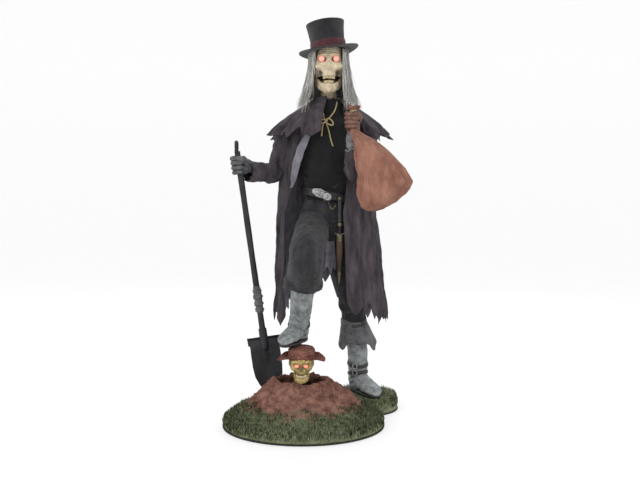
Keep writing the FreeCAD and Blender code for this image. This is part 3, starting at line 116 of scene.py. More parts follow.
world = bpy.data.worlds.new("studio")
world.use_nodes = True
world.node_tree.nodes["Background"].inputs["Color"].default_value = linear("#f4f5f7")
world.node_tree.nodes["Background"].inputs["Strength"].default_value = 0.5
bpy.context.scene.world = world
bpy.context.scene.view_settings.view_transform = "Standard"

# The paper is a round tray: flat for 6 m, then curved up on a radius of 3 m, so it has no horizon.
PAPER_FLAT, PAPER_BEND, PAPER_TURNS = 6.0, 3.0, 96
bend = np.radians(np.linspace(0, 88, 24))
tray_reach = np.concatenate([[0.01, 3.0, PAPER_FLAT], PAPER_FLAT + PAPER_BEND * np.sin(bend[1:]),
                             [9.2]])
tray_height = np.concatenate([[0, 0, 0], PAPER_BEND - PAPER_BEND * np.cos(bend[1:]), [12.0]])
way = np.linspace(0, 2 * np.pi, PAPER_TURNS, endpoint=False)
tray = np.stack(np.broadcast_arrays(
    tray_reach[:, None] * np.cos(way), tray_reach[:, None] * np.sin(way), tray_height[:, None]), -1)
ring = np.arange(tray.shape[0] * PAPER_TURNS).reshape(-1, PAPER_TURNS)
next_ring = np.roll(ring, -1, axis=1)
tray_faces = np.stack([ring[:-1], next_ring[:-1], next_ring[1:], ring[1:]], -1).reshape(-1, 4).tolist()
floor_mesh = bpy.data.meshes.new("paper")
floor_mesh.from_pydata(tray.reshape(-1, 3).tolist(), [], tray_faces + [ring[0].tolist()])
floor_mesh.polygons.foreach_set("use_smooth", np.ones(len(tray_faces) + 1, bool))
floor = bpy.data.objects.new("paper_floor", floor_mesh)
bpy.context.collection.objects.link(floor)
white_paper = bpy.data.materials.new("white_paper")
white_paper.use_nodes = True
paper_shader = white_paper.node_tree.nodes["Principled BSDF"]
paper_shader.inputs["Base Color"].default_value = linear("#a8a8a8")
paper_shader.inputs["Roughness"].default_value = 1.0
paper_shader.inputs["Emission Color"].default_value = linear("#ffffff")
paper_shader.inputs["Emission Strength"].default_value = 0.62
floor_mesh.materials.append(white_paper)
made()

# %% Camera
LENS_MM = 45.15
LENS_TIPPED_DOWN = 3.3
lens_place = (0.0304, -3.575, 1.020)
camera = bpy.data.objects.new("camera", bpy.data.cameras.new("camera"))
bpy.context.collection.objects.link(camera)
camera.data.sensor_width = 36
camera.data.lens = LENS_MM
camera.location = lens_place
camera.rotation_euler = (math.radians(90 - LENS_TIPPED_DOWN), 0, 0)
bpy.context.scene.camera = camera
print("camera", lens_place, "lens", camera.data.lens, "mm")

# %% [markdown]
# ## How a surface becomes a mesh
# Cloth, skin and leather all start as a grid of points: rows along the piece and columns round it. One
# function turns such a grid into a mesh with a texture map measured in metres, so that a weave has the
# same thread spacing on every piece. Another carries an oval along a bent line, which makes sleeves,
# legs, boots and fingers. A third gives smooth random values, for creases and lumps.

# %% Grid to mesh
UP = np.array([0.0, 0.0, 1.0])
BACK = np.array([0.0, 1.0, 0.0])


def grid_piece(name, points, body, around=False, closed=False, outward=None, size=None):
    """Makes a mesh from points[row, column] in mm. around joins the last column to the first.

    closed adds a fan of faces over the first and the last row. Faces are turned so that they look
    away from the point outward, or so that a closed piece's volume is positive.
    """
    rows, columns = points.shape[:2]
    index = np.arange(rows * columns).reshape(rows, columns)
    left = index if around else index[:, :-1]
    right = np.roll(index, -1, axis=1) if around else index[:, 1:]
    quads = np.stack([left[:-1], right[:-1], right[1:], left[1:]], -1).reshape(-1, 4)
    flat = points.reshape(-1, 3) * MM
    faces = quads.tolist()
    steps = np.linalg.norm(np.diff(points, axis=1), axis=2).mean() * MM
    rises = np.linalg.norm(np.diff(points, axis=0), axis=2).mean() * MM
    if size is not None:
        steps, rises = size[0] * MM / columns, size[1] * MM / rows
    row_at, column_at = np.divmod(np.arange(len(quads)), left.shape[1])
    map_u = np.stack([column_at, column_at + 1, column_at + 1, column_at], -1) * steps
    map_v = np.stack([row_at, row_at, row_at + 1, row_at + 1], -1) * rises
    maps = np.stack([map_u, map_v], -1).reshape(-1, 2)
    if closed:
        flat = np.concatenate([flat, flat[index[0]].mean(0, keepdims=True),
                               flat[index[-1]].mean(0, keepdims=True)])
        first, last = len(flat) - 2, len(flat) - 1
        low = [[int(b), int(a), first] for a, b in zip(index[0], np.roll(index[0], -1))]
        high = [[int(a), int(b), last] for a, b in zip(index[-1], np.roll(index[-1], -1))]
        faces += low + high
        turn = np.linspace(0, 2 * np.pi, columns, endpoint=False)
        disc = np.stack([np.cos(turn), np.sin(turn)], -1) * steps * columns / (2 * np.pi)
        spread = [np.stack([np.roll(disc, -s, 0), np.roll(disc, s - 1, 0), disc * 0], 1).reshape(-1,
            2) for s in (1, 0)]
        maps = np.concatenate([maps, *spread])
    mesh = bpy.data.meshes.new(name)
    mesh.from_pydata(flat.tolist(), [], faces)
    mesh.uv_layers.new(name="cloth").data.foreach_set("uv", maps.ravel())
    mesh.polygons.foreach_set("use_smooth", np.ones(len(faces), bool))
    corners = flat[quads[:, :3]]
    normals = np.cross(corners[:, 1] - corners[:, 0], corners[:, 2] - corners[:, 0])
    away = corners[:, 0] - (np.array(outward) * MM if outward is not None else flat.mean(0))
    if (normals * away).sum() < 0:
        mesh.flip_normals()
    mesh.update()
    piece = bpy.data.objects.new(name, mesh)
    bpy.context.collection.objects.link(piece)
    if body:
        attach(piece, body)
    return piece


made()

# %% Smooth curves, ovals along a line, and smooth random values
def curve_through(points, count):
    """A smooth curve through points of any number of columns.

    Catmull-Rom: between two points, a cubic whose slope at each is half the way from the point before
    it to the point after it.
    """
    p = np.asarray(points, float)
    p = np.concatenate([[2 * p[0] - p[1]], p, [2 * p[-1] - p[-2]]])
    place = np.linspace(0, len(points) - 1, count)
    i = np.minimum(place.astype(int), len(points) - 2)
    t = (place - i)[:, None]
    a, b, c, d = p[i], p[i + 1], p[i + 2], p[i + 3]
    return 0.5 * (2 * b + (c - a) * t + (2 * a - 5 * b + 4 * c - d) * t**2 + (3 * b - a - 3 * c + d) * t**3)


def unit(vectors):
    """Vectors made one long."""
    return vectors / np.maximum(np.linalg.norm(vectors, axis=-1, keepdims=True), 1e-9)


def tube(stations, rows, columns, back=BACK):
    """Ovals carried along a smooth line. A station is (x, y, z, half width, half depth) in mm.

    Returns points[row, column] and directions that point out of the tube. Column 0 is at the side, and
    the columns go round by way of the back: centre + side * width * cos + back * depth * sin.
    """
    line = curve_through(stations, rows)
    centre, width, depth = line[:, None, :3], line[:, None, 3:4], line[:, None, 4:5]
    along = unit(np.gradient(line[:, :3], axis=0))
    side = unit(np.cross(np.asarray(back, float), along))
    behind = np.cross(along, side)
    turn = np.linspace(0, 2 * np.pi, columns, endpoint=False)[None, :, None]
    side, behind = side[:, None], behind[:, None]
    points = centre + side * width * np.cos(turn) + behind * depth * np.sin(turn)
    outward = unit(side * depth * np.cos(turn) + behind * width * np.sin(turn))
    return points, outward


def waves(points, size, seed, octaves=3):
    """Smooth random values from about -1 to 1 at points in mm, with lumps of about a size.

    Each octave is the mean of six sine waves in random directions, half as long and half as high as
    the one before it.
    """
    random = np.random.default_rng(seed)
    total = np.zeros(points.shape[:-1])
    for octave in range(octaves):
        directions = unit(random.normal(size=(6, 3))) * 2 * np.pi * 2**octave / size
        phase = random.uniform(0, 2 * np.pi, 6)
        total += np.sin(points @ directions.T + phase).mean(-1) * 1.8 * 0.5**octave
    return total


def smooth_step(value, low, high):
    """0 below low, 1 above high, and 3t^2 - 2t^3 between."""
    t = np.clip((value - low) / (high - low), 0, 1)
    return t * t * (3 - 2 * t)


def ragged(columns, depth, count, seed):
    """How far down each column of a torn hem hangs, from 0 to depth: pointed tongues of random width.

    Each tongue is 1 minus the distance from its tip over its half width, and the longest one wins.
    """
    random = np.random.default_rng(seed)
    place = np.linspace(0, 1, columns)
    tips = (np.arange(count) + random.uniform(0.15, 0.85, count)) / count
    half = random.uniform(0.5, 1.3, count) / count
    length = random.uniform(0.35, 1.0, count)
    tongues = length[:, None] * np.clip(1 - np.abs(place[None] - tips[:, None]) / half[:, None], 0, 1)
    return tongues.max(0) ** 0.8 * depth


def thicken(piece, thickness, inner=0, rim=0, levels=0):
    """Gives a sheet its thickness in mm, inwards, with its own material inside, and smooths it."""
    if levels:
        smooth = piece.modifiers.new("smooth", "SUBSURF")
        smooth.levels = levels
        smooth.render_levels = levels
    wall = piece.modifiers.new("thickness", "SOLIDIFY")
    wall.thickness = thickness * MM
    wall.offset = -1
    wall.material_offset = inner
    wall.material_offset_rim = rim
    return piece


print("helpers are ready")

# %% [markdown]
# ## Finishes
# Each finish starts from what the real one is. The clothes are cheap plain-weave polyester, dyed charcoal
# and rubbed with grey. The boots and the gloves are thin vinyl and leather. The skulls and the face are
# painted vinyl, and painted shade darkens their hollows. Noise at a few sizes gives stains and wear, and two
# sets of fine bands at the thread spacing give a weave. Threads are drawn about three times too coarse,
# because real ones are too fine to see at this distance.

# %% One function that adds a node
def add(tree, kind, *links, **settings):
    """Adds a node. A setting is one of its properties or the number in a socket; a link is
    (socket, output).
    """
    node = tree.nodes.new("ShaderNode" + kind)
    for name, value in settings.items():
        if hasattr(node, name):
            setattr(node, name, value)
        else:
            node.inputs[name.replace("_", " ")].default_value = value
    for socket, source in links:
        tree.links.new(source, node.inputs[socket])
    return node


def finish(name, roughness, **sockets):
    """A new material. Returns it, its node tree and its shader, whose constant numbers are set
    here.
    """
    material = bpy.data.materials.new(name)
    material.use_nodes = True
    tree = material.node_tree
    shader = tree.nodes["Principled BSDF"]
    shader.inputs["Roughness"].default_value = roughness
    for socket, value in sockets.items():
        shader.inputs[socket.replace("_", " ")].default_value = value
    return material, tree, shader


def stained(tree, low, high, size, detail=4.0, sharp=0.5, tall=1.0):
    """Two colours mixed by noise whose lumps are about a size in mm, and tall times as high.
    Returns the colour.
    """
    place = add(tree, "Mapping", ("Vector", add(tree, "TexCoord").outputs["Object"]))
    place.inputs["Scale"].default_value = (1.0, 1.0, 1 / tall)
    noise = add(tree, "TexNoise", ("Vector", place.outputs[0]), Scale=1000 / size, Detail=detail,
                Roughness=0.62)
    edge = add(tree, "MapRange", ("Value", noise.outputs[0]), From_Min=0.5 - sharp / 2,
               From_Max=0.5 + sharp / 2)
    mix = add(tree, "Mix", (0, edge.outputs[0]), data_type="RGBA")
    mix.inputs[6].default_value = linear(low)
    mix.inputs[7].default_value = linear(high)
    return mix.outputs[2]


def bumped(tree, shader, height, distance, before=None):
    """Raises the surface by a height output, up to a distance in mm, on top of a bump made before.
    """
    bump = add(tree, "Bump", ("Height", height), Distance=distance * MM, Strength=1.0)
    if before is not None:
        tree.links.new(before, bump.inputs["Normal"])
    tree.links.new(bump.outputs[0], shader.inputs["Normal"])
    return bump.outputs[0]


def woven(name, low, high, thread, stain=70, roughness=0.9, sheen=0.25, sharp=0.5, lift=0.35, tall=1.0):
    """Plain-weave cloth: bands along both ways of the cloth's own map, and stains of a size in mm.
    """
    material, tree, shader = finish(name, roughness, Sheen_Weight=sheen * 0.5, Sheen_Roughness=0.6,
                                    Specular_IOR_Level=0.2)
    cloth = add(tree, "TexCoord").outputs["UV"]
    # A band repeats every pi / 10 of a unit over its scale, so this scale makes one band a thread wide.
    scale = 1000 * math.pi / 10 / thread
    warp = add(tree, "TexWave", ("Vector", cloth), bands_direction="X", Scale=scale, Distortion=1.5,
               Detail=1.0)
    weft = add(tree, "TexWave", ("Vector", cloth), bands_direction="Y", Scale=scale, Distortion=1.5,
               Detail=1.0)
    weave = add(tree, "Math", (0, warp.outputs["Fac"]), (1, weft.outputs["Fac"]), operation="ADD")
    colour = stained(tree, low, high, stain, sharp=sharp, tall=tall)
    slub = add(tree, "MapRange", ("Value", weave.outputs[0]), From_Max=2.0, To_Min=0.72, To_Max=1.18)
    shade = add(tree, "VectorMath", (0, colour), (1, slub.outputs[0]), operation="MULTIPLY")
    tree.links.new(shade.outputs[0], shader.inputs["Base Color"])
    bumped(tree, shader, weave.outputs[0], lift)
    return material


def creased(name, low, high, crease, roughness, depth=0.5, stain=60, sharp=0.5, lines=0.55, **sockets):
    """Leather or thin vinyl: cells about a crease across, in stained colour. lines is how bright a
    crack is.
    """
    material, tree, shader = finish(name, roughness, **sockets)
    place = add(tree, "TexCoord").outputs["Object"]
    bent = add(tree, "TexNoise", ("Vector", place), Scale=400 / crease, Detail=3.0)
    moved = add(tree, "VectorMath", (0, bent.outputs["Color"]), (2, place), operation="MULTIPLY_ADD")
    moved.inputs[1].default_value = (crease * MM,) * 3
    cells = add(tree, "TexVoronoi", ("Vector", moved.outputs[0]), feature="DISTANCE_TO_EDGE",
                Scale=1000 / crease)
    crack = add(tree, "MapRange", ("Value", cells.outputs[0]), From_Max=0.16, To_Min=0.0, To_Max=1.0)
    dark = add(tree, "MapRange", ("Value", crack.outputs[0]), To_Min=lines, To_Max=1.05)
    shade = add(tree, "VectorMath", (0, stained(tree, low, high, stain, sharp=sharp)),
                (1, dark.outputs[0]), operation="MULTIPLY")
    # A piece may carry an attribute, from 0 to 1, of how hollow each point is: painted shade there darkens the
    # colour down to 0.22 of itself.
    hollow_shade = add(tree, "Attribute", attribute_name="hollow_shade").outputs["Fac"]
    paint_shade_in_hollows = add(tree, "MapRange", ("Value", hollow_shade), To_Min=1.0, To_Max=0.22)
    shaded_in_hollows = add(tree, "VectorMath", (0, shade.outputs[0]), (1, paint_shade_in_hollows.outputs[0]), operation="MULTIPLY")
    tree.links.new(shaded_in_hollows.outputs[0], shader.inputs["Base Color"])
    fine = add(tree, "TexNoise", ("Vector", place), Scale=1000 / crease / 0.3, Detail=3.0)
    first = bumped(tree, shader, crack.outputs[0], depth)
    bumped(tree, shader, fine.outputs[0], depth * 0.6, first)
    return material


def plain(name, low, high, roughness, grain=12.0, lift=0.15, stain=90, sharp=0.6, **sockets):
    """Moulded plastic, painted metal or vinyl: nearly even colour with a fine grain in its
    surface.
    """
    material, tree, shader = finish(name, roughness, **sockets)
    tree.links.new(stained(tree, low, high, stain, sharp=sharp), shader.inputs["Base Color"])
    place = add(tree, "TexCoord").outputs["Object"]
    noise = add(tree, "TexNoise", ("Vector", place), Scale=1000 / grain, Detail=4.0)
    bumped(tree, shader, noise.outputs[0], lift)
    rough = add(tree, "MapRange", ("Value", noise.outputs[0]), To_Min=roughness - 0.08,
                To_Max=roughness + 0.1)
    tree.links.new(rough.outputs[0], shader.inputs["Roughness"])
    return material


# %% Cloths
charcoal_poplin = woven("charcoal_poplin", "#171518", "#585056", 2.6, stain=48, sharp=0.42, sheen=0.1,
                        tall=3.5)
grey_lining = woven("grey_lining", "#5a5660", "#8d8994", 2.2, stain=60, sheen=0.5)
black_jersey = woven("black_jersey", "#0b0b0c", "#1f1e21", 2.4, stain=90)
trouser_twill = woven("trouser_twill", "#141415", "#3c3a3e", 3.0, stain=50, sharp=0.45, tall=2.5)
burlap = woven("burlap", "#6e4436", "#b0816e", 3.6, stain=60, roughness=0.95, sheen=0.1, lift=0.6,
               tall=2.4)
hat_felt = woven("hat_felt", "#101011", "#302f33", 1.6, stain=55, roughness=0.98, sheen=0.4, lift=0.2)
grosgrain = woven("grosgrain", "#381c20", "#65363b", 2.0, stain=30, roughness=0.7)
grey_knit = woven("grey_knit", "#39373b", "#99979a", 3.4, stain=20, lift=0.8)
print("cloths done,", len(bpy.data.materials), "finishes so far")

# %% Leather, vinyl, bone and skin
boot_vinyl = creased("boot_vinyl", "#43494a", "#a4a9a9", 10, 0.5, depth=0.5, stain=30, sharp=0.5,
                     lines=0.8)
cuff_leather = creased("cuff_leather", "#252427", "#6a696d", 9, 0.5, depth=0.5)
belt_leather = creased("belt_leather", "#151314", "#3c383a", 6, 0.48, depth=0.4)
sheath_leather = creased("sheath_leather", "#33231a", "#6a5040", 7, 0.55, depth=0.4)
glove_leather = creased("glove_leather", "#2c2c2e", "#6b6a6e", 7, 0.6, depth=0.4, stain=25)
ghoul_skin = creased("ghoul_skin", "#a08c6e", "#e6d9bd", 7, 0.6, depth=0.15, stain=24, sharp=0.6,
                     lines=0.9, Subsurface_Weight=0.06)
old_bone = creased("old_bone", "#8f7536", "#dfc987", 13, 0.55, depth=0.35, stain=26, sharp=0.5)
clay_hat = creased("clay_hat", "#4a211a", "#96604f", 12, 0.75, depth=1.2, stain=24, sharp=0.4)
lip_brown = plain("lip_brown", "#2a0f0c", "#4a1c16", 0.5)
tooth_enamel = plain("tooth_enamel", "#a58f5e", "#e6dab4", 0.35, stain=7)
print("leathers, vinyls, bone and skin done,", len(bpy.data.materials), "finishes so far")

# %% Metals, wood, plastics
black_iron = plain("black_iron", "#121214", "#3a393d", 0.55, grain=9, lift=0.5, Metallic=0.45)
cast_pewter = plain("cast_pewter", "#4a4a4c", "#c9c9ca", 0.38, grain=5, lift=0.35, stain=9,
                    Metallic=0.9)
powder_coat = plain("powder_coat", "#0d0d0e", "#1a1a1c", 0.5, grain=2)
zinc_plate = plain("zinc_plate", "#8f9296", "#c4c7ca", 0.35, Metallic=1.0)
black_abs = plain("black_abs", "#111112", "#1d1d1f", 0.5, grain=1.5)
white_acetal = plain("white_acetal", "#d5d2c9", "#eceae2", 0.4)
foam_rubber = plain("foam_rubber", "#0c0c0c", "#1c1c1c", 0.95, grain=2, lift=0.4)
painted_board = plain("painted_board", "#151412", "#25231f", 0.8, grain=4, lift=0.3)


def lit_lens(name, rim, heart, strength):
    """A clear red lens over a lamp: emission that a facing weight makes palest at its heart."""
    material, tree, shader = finish(name, 0.15, Emission_Strength=strength, IOR=1.49)
    facing = add(tree, "LayerWeight", Blend=0.4).outputs["Facing"]
    mix = add(tree, "Mix", (0, facing), data_type="RGBA")
    mix.inputs[6].default_value = linear(heart)
    mix.inputs[7].default_value = linear(rim)
    tree.links.new(mix.outputs[2], shader.inputs["Emission Color"])
    shader.inputs["Base Color"].default_value = linear("#5a0505")
    return material




def give(piece, *materials):
    """Puts materials in a piece's slots, in order, and returns the piece."""
    piece.data.materials.clear()
    for material in materials:
        piece.data.materials.append(material)
    return piece


print(len(bpy.data.materials), "materials")


def closed_piece(name, points, body, *materials):
    """A piece from a grid that runs round and is shut at both ends, with its materials."""
    return give(grid_piece(name, points, body, around=True, closed=True), *materials)


# %% [markdown]
# ## The twine that ties the cape
# Two ends of straw-coloured twine come from under the hair, cross in a knot on the chest and hang. A cord
# is a fixed length of something limp, so each is one smooth spline along its route, round in section, and a
# small bow sits where they cross. Both hang from the same knot, so their routes share its place.

# %% Twine
def twine_finish():
    """Two-ply sisal: slanting bands at the twist's spacing of 5 mm, between straw and brown."""
    material, tree, shader = finish("sisal_twine", 0.9, Sheen_Weight=0.2)
    place = add(tree, "TexCoord").outputs["Object"]
    slant = add(tree, "Mapping", ("Vector", place))
    slant.inputs["Rotation"].default_value = (0.6, 0.5, 0.0)
    twist = add(tree, "TexWave", ("Vector", slant.outputs[0]), bands_direction="Z", Scale=63.0,
                Distortion=0.6)
    mix = add(tree, "Mix", (0, twist.outputs["Fac"]), data_type="RGBA")
    mix.inputs[6].default_value = linear("#7d6538")
    mix.inputs[7].default_value = linear("#dccb98")
    tree.links.new(mix.outputs[2], shader.inputs["Base Color"])
    bumped(tree, shader, twist.outputs["Fac"], 1.2)
    return material


sisal_twine = twine_finish()
knot = np.array([53.0, 133.0, 1354.0])
right_route = [(41, 155, 1442), (42, 146, 1412), (45, 137, 1384), knot + (-3, -2, 12),
               knot + (8, -4, -16)]
right_route += [knot + (20, -4, -50), knot + (26, -7, -86), knot + (37, -10, -116)]
left_route = [(109, 157, 1442), (104, 145, 1410), (85, 134, 1380), knot + (10, -10, 4),
              knot + (-8, -10, -12)]
left_route += [knot + (-13, -6, -40), knot + (-15, -7, -70)]


def cord(name, route, node):
    """A round cord on one open NURBS spline of order 3 through its route's control points."""
    curve = bpy.data.curves.new(name, "CURVE")
    curve.dimensions = "3D"
    curve.bevel_depth = 3 * MM
    curve.bevel_resolution = 3
    curve.use_fill_caps = True
    spline = curve.splines.new("NURBS")
    spline.points.add(len(route) - 1)
    for point, place in zip(spline.points, route):
        point.co = (*(np.array(place) * MM).tolist(), 1.0)
    spline.order_u = 3
    spline.use_endpoint_u = True
    piece = bpy.data.objects.new(name, curve)
    bpy.context.collection.objects.link(piece)
    curve.materials.append(sisal_twine)
    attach(piece, "figure")
    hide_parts(node)
    return piece


cord("cape_twine_right", right_route, "cape_cord_right")
cord("cape_twine_left", left_route, "cape_cord_left")


def bow(name, centre):
    """Two drooping loops and a wrap round the knot: each loop is an oval path, w sin t across and
    h sin 2t down.
    """
    t = np.linspace(0, 2 * np.pi, 25)
    parts = []
    for side, reach, droop in ((-1, 44, 16), (1, 34, 24)):
        x = side * reach * np.sin(t / 2) ** 2
        z = droop * np.sin(t) * 0.55 - 14 * np.sin(t / 2) ** 4
        y = -6 - 7 * np.sin(t / 2)
        parts.append(np.stack([x, y, z, np.full(25, 3.1), np.full(25, 3.1)], -1))
    wrap = np.stack([7 * np.cos(t), -4 + 7 * np.sin(t), 5 * np.sin(t + 0.8), np.full(25, 3.0),
                     np.full(25, 3.0)], -1)
    pieces = []
    for i, part in enumerate((*parts, wrap)):
        part[:, :3] += centre
        points, _ = tube(part, 60, 10, back=(0.2, 1.0, 0.3))
        pieces.append(closed_piece(f"{name}_{i}", points, "figure", sisal_twine))
    return pieces


bow("twine_bow", knot + (4, -8, -2))
print("twine routes", len(right_route), "and", len(left_route), "points")

# %% [markdown]
# ## The mound
# The base is a moulded shell painted as dug earth, with a mat of grass glued round its foot and a ragged
# hole at its top. It is a stack of ovals that shrink as they rise and drift towards the hole, pushed in and
# out by lumps of three sizes. Crumbs of earth and thin blades of grass are added as many small meshes in
# one piece each, because they are what the eye takes for soil and lawn.

# %% Mound surface
hole = np.array([-52.0, -38.0])
heap = np.array([-42.0, -75.0])
# Share of the full oval, and height in mm: up the foot and the slope, over the rim, and down into the hole.
heap_profile = np.array(
    [(0.985, 9), (0.992, 26), (0.975, 42), (0.92, 50), (0.84, 60), (0.76, 80), (0.68, 103), (0.6, 127)]
    + [(0.51, 152), (0.43, 174), (0.36, 190), (0.31, 195), (0.288, 184), (0.284, 150), (0.29, 60)]
)


def heap_points(rows, columns):
    """Ovals of the heap: middle + share * (357 cos, 320 sin), lifted to their height, then lumped.
    """
    line = curve_through(heap_profile, rows)
    share, height = line[:, :1], line[:, 1:]
    turn = np.linspace(0, 2 * np.pi, columns, endpoint=False)[None]
    drift = np.clip((0.90 - share) / 0.55, 0, 1)
    x = heap[0] + (hole[0] - heap[0]) * drift + 357 * share * np.cos(turn)
    y = heap[1] + (hole[1] - heap[1]) * drift + 320 * share * np.sin(turn)
    points = np.stack([x, y, height + 0 * turn], -1)
    rough = smooth_step(height, 30, 90)
    lumps = 7 * waves(points, 120, 3) + 3.5 * waves(points, 34, 4) + 1.6 * waves(points, 11, 5, 2)
    out = unit(np.stack([np.cos(turn) + 0 * height, np.sin(turn) + 0 * height,
                         0.9 + 0 * (height + turn)], -1))
    points = points + out * (lumps * (0.18 + 0.82 * rough))[..., None]
    rim = np.exp(-(((share - 0.33) / 0.05) ** 2))
    points[..., 2] += rim * 6 * waves(points, 45, 6)
    points[..., 2] = np.maximum(points[..., 2], 9)
    return points


def lobe_points(rows, columns):
    """The low lobe behind the heap: a disc of radius 168 with a rounded edge, gently uneven on
    top.
    """
    profile = np.array([(0.98, 9), (0.99, 30), (0.965, 54), (0.93, 67), (0.88, 73), (0.6, 74.5),
                        (0.3, 74.5), (0.02, 74.5)])
    line = curve_through(profile, rows)
    share, height = line[:, :1], line[:, 1:]
    turn = np.linspace(0, 2 * np.pi, columns, endpoint=False)[None]
    x, y = 233 + 168 * share * np.cos(turn), 205 + 168 * share * np.sin(turn)
    points = np.stack([x, y, height + 0 * turn], -1)
    points[..., 2] += 1.0 * waves(points, 40, 8) * smooth_step(height, 20, 60) - 1.0
    return points


def soil():
    """Painted earth above, moss-green paint below: a mix by height and noise, under crumbly bumps.
    """
    material, tree, shader = finish("painted_soil", 0.93, Specular_IOR_Level=0.15)
    place = add(tree, "TexCoord").outputs["Object"]
    height = add(tree, "SeparateXYZ", ("Vector", place)).outputs["Z"]
    noise = add(tree, "TexNoise", ("Vector", place), Scale=22.0, Detail=4.0)
    lifted = add(tree, "Math", (0, noise.outputs[0]), (2, height), operation="MULTIPLY_ADD")
    lifted.inputs[1].default_value = 0.10
    edge = add(tree, "MapRange", ("Value", lifted.outputs[0]), From_Min=0.128, From_Max=0.152)
    earth = stained(tree, "#4d322b", "#a5796a", 34, detail=6.0, sharp=0.45)
    moss = stained(tree, "#4c5240", "#868d6c", 26, sharp=0.5)
    mix = add(tree, "Mix", (0, edge.outputs[0]), (6, moss), (7, earth), data_type="RGBA")
    # Painted shade in the pit: within 94 mm of its middle the colour darkens to a tenth.
    pit_shade_map = add(tree, "Mapping", ("Vector", place))
    pit_shade_map.inputs["Location"].default_value = (0.052 / 0.104, 0.038 / 0.09, 0.0)
    pit_shade_map.inputs["Scale"].default_value = (1 / 0.104, 1 / 0.09, 0.0)
    ring = add(tree, "VectorMath", (0, pit_shade_map.outputs[0]), operation="LENGTH")
    dark = add(tree, "MapRange", ("Value", ring.outputs["Value"]), From_Min=0.92, From_Max=1.1,
               To_Min=0.1, To_Max=1.0)
    shade = add(tree, "VectorMath", (0, mix.outputs[2]), (1, dark.outputs[0]), operation="MULTIPLY")
    tree.links.new(shade.outputs[0], shader.inputs["Base Color"])
    coarse = add(tree, "TexNoise", ("Vector", place), Scale=90.0, Detail=6.0, Roughness=0.7)
    bumped(tree, shader, coarse.outputs[0], 5.0)
    return material


painted_soil = soil()
heap_grid = heap_points(110, 260)
mound = closed_piece("dirt_mound", heap_grid, "figure", painted_soil)
lobe_grid = lobe_points(40, 160)
closed_piece("ground_lobe", lobe_grid, "figure", painted_soil)
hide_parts("base_shell")
made()

# %% Crumbs and grass
def scattered(name, template, faces, places, turns, scales, material):
    """Many copies of a small shape in one mesh: place + turned template * scale, all at once."""
    c, s = np.cos(turns)[:, None], np.sin(turns)[:, None]
    x = template[None, :, 0] * c - template[None, :, 1] * s
    y = template[None, :, 0] * s + template[None, :, 1] * c
    shaped = np.stack([x, y, np.broadcast_to(template[None, :, 2], x.shape)], -1) * scales[:, None]
    points = ((shaped + places[:, None]) * MM).reshape(-1, 3)
    step = (np.arange(len(places)) * len(template))[:, None, None]
    every = (np.asarray(faces)[None] + step).reshape(-1, len(faces[0]))
    mesh = bpy.data.meshes.new(name)
    mesh.from_pydata(points.tolist(), [], every.tolist())
    mesh.update()
    piece = bpy.data.objects.new(name, mesh)
    bpy.context.collection.objects.link(piece)
    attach(piece, "figure")
    return give(piece, material)


random = np.random.default_rng(11)
gold = (1 + 5**0.5) / 2
clod = np.array([(-1, gold, 0), (1, gold, 0), (-1, -gold, 0), (1, -gold, 0), (0, -1, gold),
                 (0, 1, gold)])
clod = np.concatenate([clod, [(0, -1, -gold), (0, 1, -gold), (gold, 0, -1), (gold, 0, 1),
                              (-gold, 0, -1), (-gold, 0, 1)]])
clod = clod / 1.9 * random.uniform(0.75, 1.2, (12, 1))
clod_faces = [(0, 11, 5), (0, 5, 1), (0, 1, 7), (0, 7, 10), (0, 10, 11), (1, 5, 9), (5, 11, 4),
              (11, 10, 2), (10, 7, 6)]
clod_faces += [(7, 1, 8), (3, 9, 4), (3, 4, 2), (3, 2, 6), (3, 6, 8), (3, 8, 9), (4, 9, 5), (2, 4, 11),
               (6, 2, 10)]
clod_faces += [(8, 6, 7), (9, 8, 1)]
top = heap_grid[(heap_grid[:, 0, 2] > 60).argmax() : 84].reshape(-1, 3)
spots = top[random.integers(0, len(top), 1500)]
spots = spots[spots[:, 2] > 95 + 18 * waves(spots, 60, 9)]
sizes = random.uniform(1.6, 6.5, (len(spots), 1)) * random.uniform(0.7, 1.25, (len(spots), 3))
scattered("dirt_crumbs", clod, clod_faces, spots, random.uniform(0, 6.28, len(spots)), sizes,
          painted_soil)


def grass_finish():
    """Dyed paper grass: olive and grey-green blades, each with its own shade from noise at its
    root.
    """
    material, tree, shader = finish("dyed_grass", 0.85, Specular_IOR_Level=0.2)
    place = add(tree, "TexCoord").outputs["Object"]
    long = add(tree, "Mapping", ("Vector", place), vector_type="POINT")
    long.inputs["Scale"].default_value = (1.0, 1.0, 0.25)
    noise = add(tree, "TexNoise", ("Vector", long.outputs[0]), Scale=150.0, Detail=2.0)
    mix = add(tree, "Mix", (0, noise.outputs[0]), data_type="RGBA")
    mix.inputs[6].default_value = linear("#4d5440")
    mix.inputs[7].default_value = linear("#b3ba98")
    tree.links.new(mix.outputs[2], shader.inputs["Base Color"])
    return material


dyed_grass = grass_finish()
blade = np.array([(-0.5, 0, -0.1), (0.5, 0, -0.1), (-0.34, -0.08, 0.5), (0.34, -0.08, 0.5),
                  (0.0, -0.25, 1.0)])
blade_faces = [(0, 1, 3), (0, 3, 2), (2, 3, 4)]
low = heap_grid[4:62].reshape(-1, 3)
lawn = np.concatenate([low[random.integers(0, len(low), 15000)],
                       lobe_grid[6:].reshape(-1, 3)[random.integers(0, 5200, 2600)]])
lawn = lawn + random.normal(0, 2.0, lawn.shape) * (1, 1, 0)
along_boot = (lawn[:, 0] - 241) * 0.407 - (lawn[:, 1] - 195) * 0.914
across_boot = (lawn[:, 0] - 241) * 0.914 + (lawn[:, 1] - 195) * 0.407
boot_room = np.hypot(across_boot / 56, along_boot / 142)
lawn = lawn[(lawn[:, 2] < 98 + 18 * waves(lawn, 60, 9)) & (boot_room > 1)]
length = random.uniform(7, 17, len(lawn))
outwards = np.arctan2(lawn[:, 1] - heap[1], lawn[:, 0] - heap[0]) + np.pi / 2 + random.normal(0, 0.7,
    len(lawn))
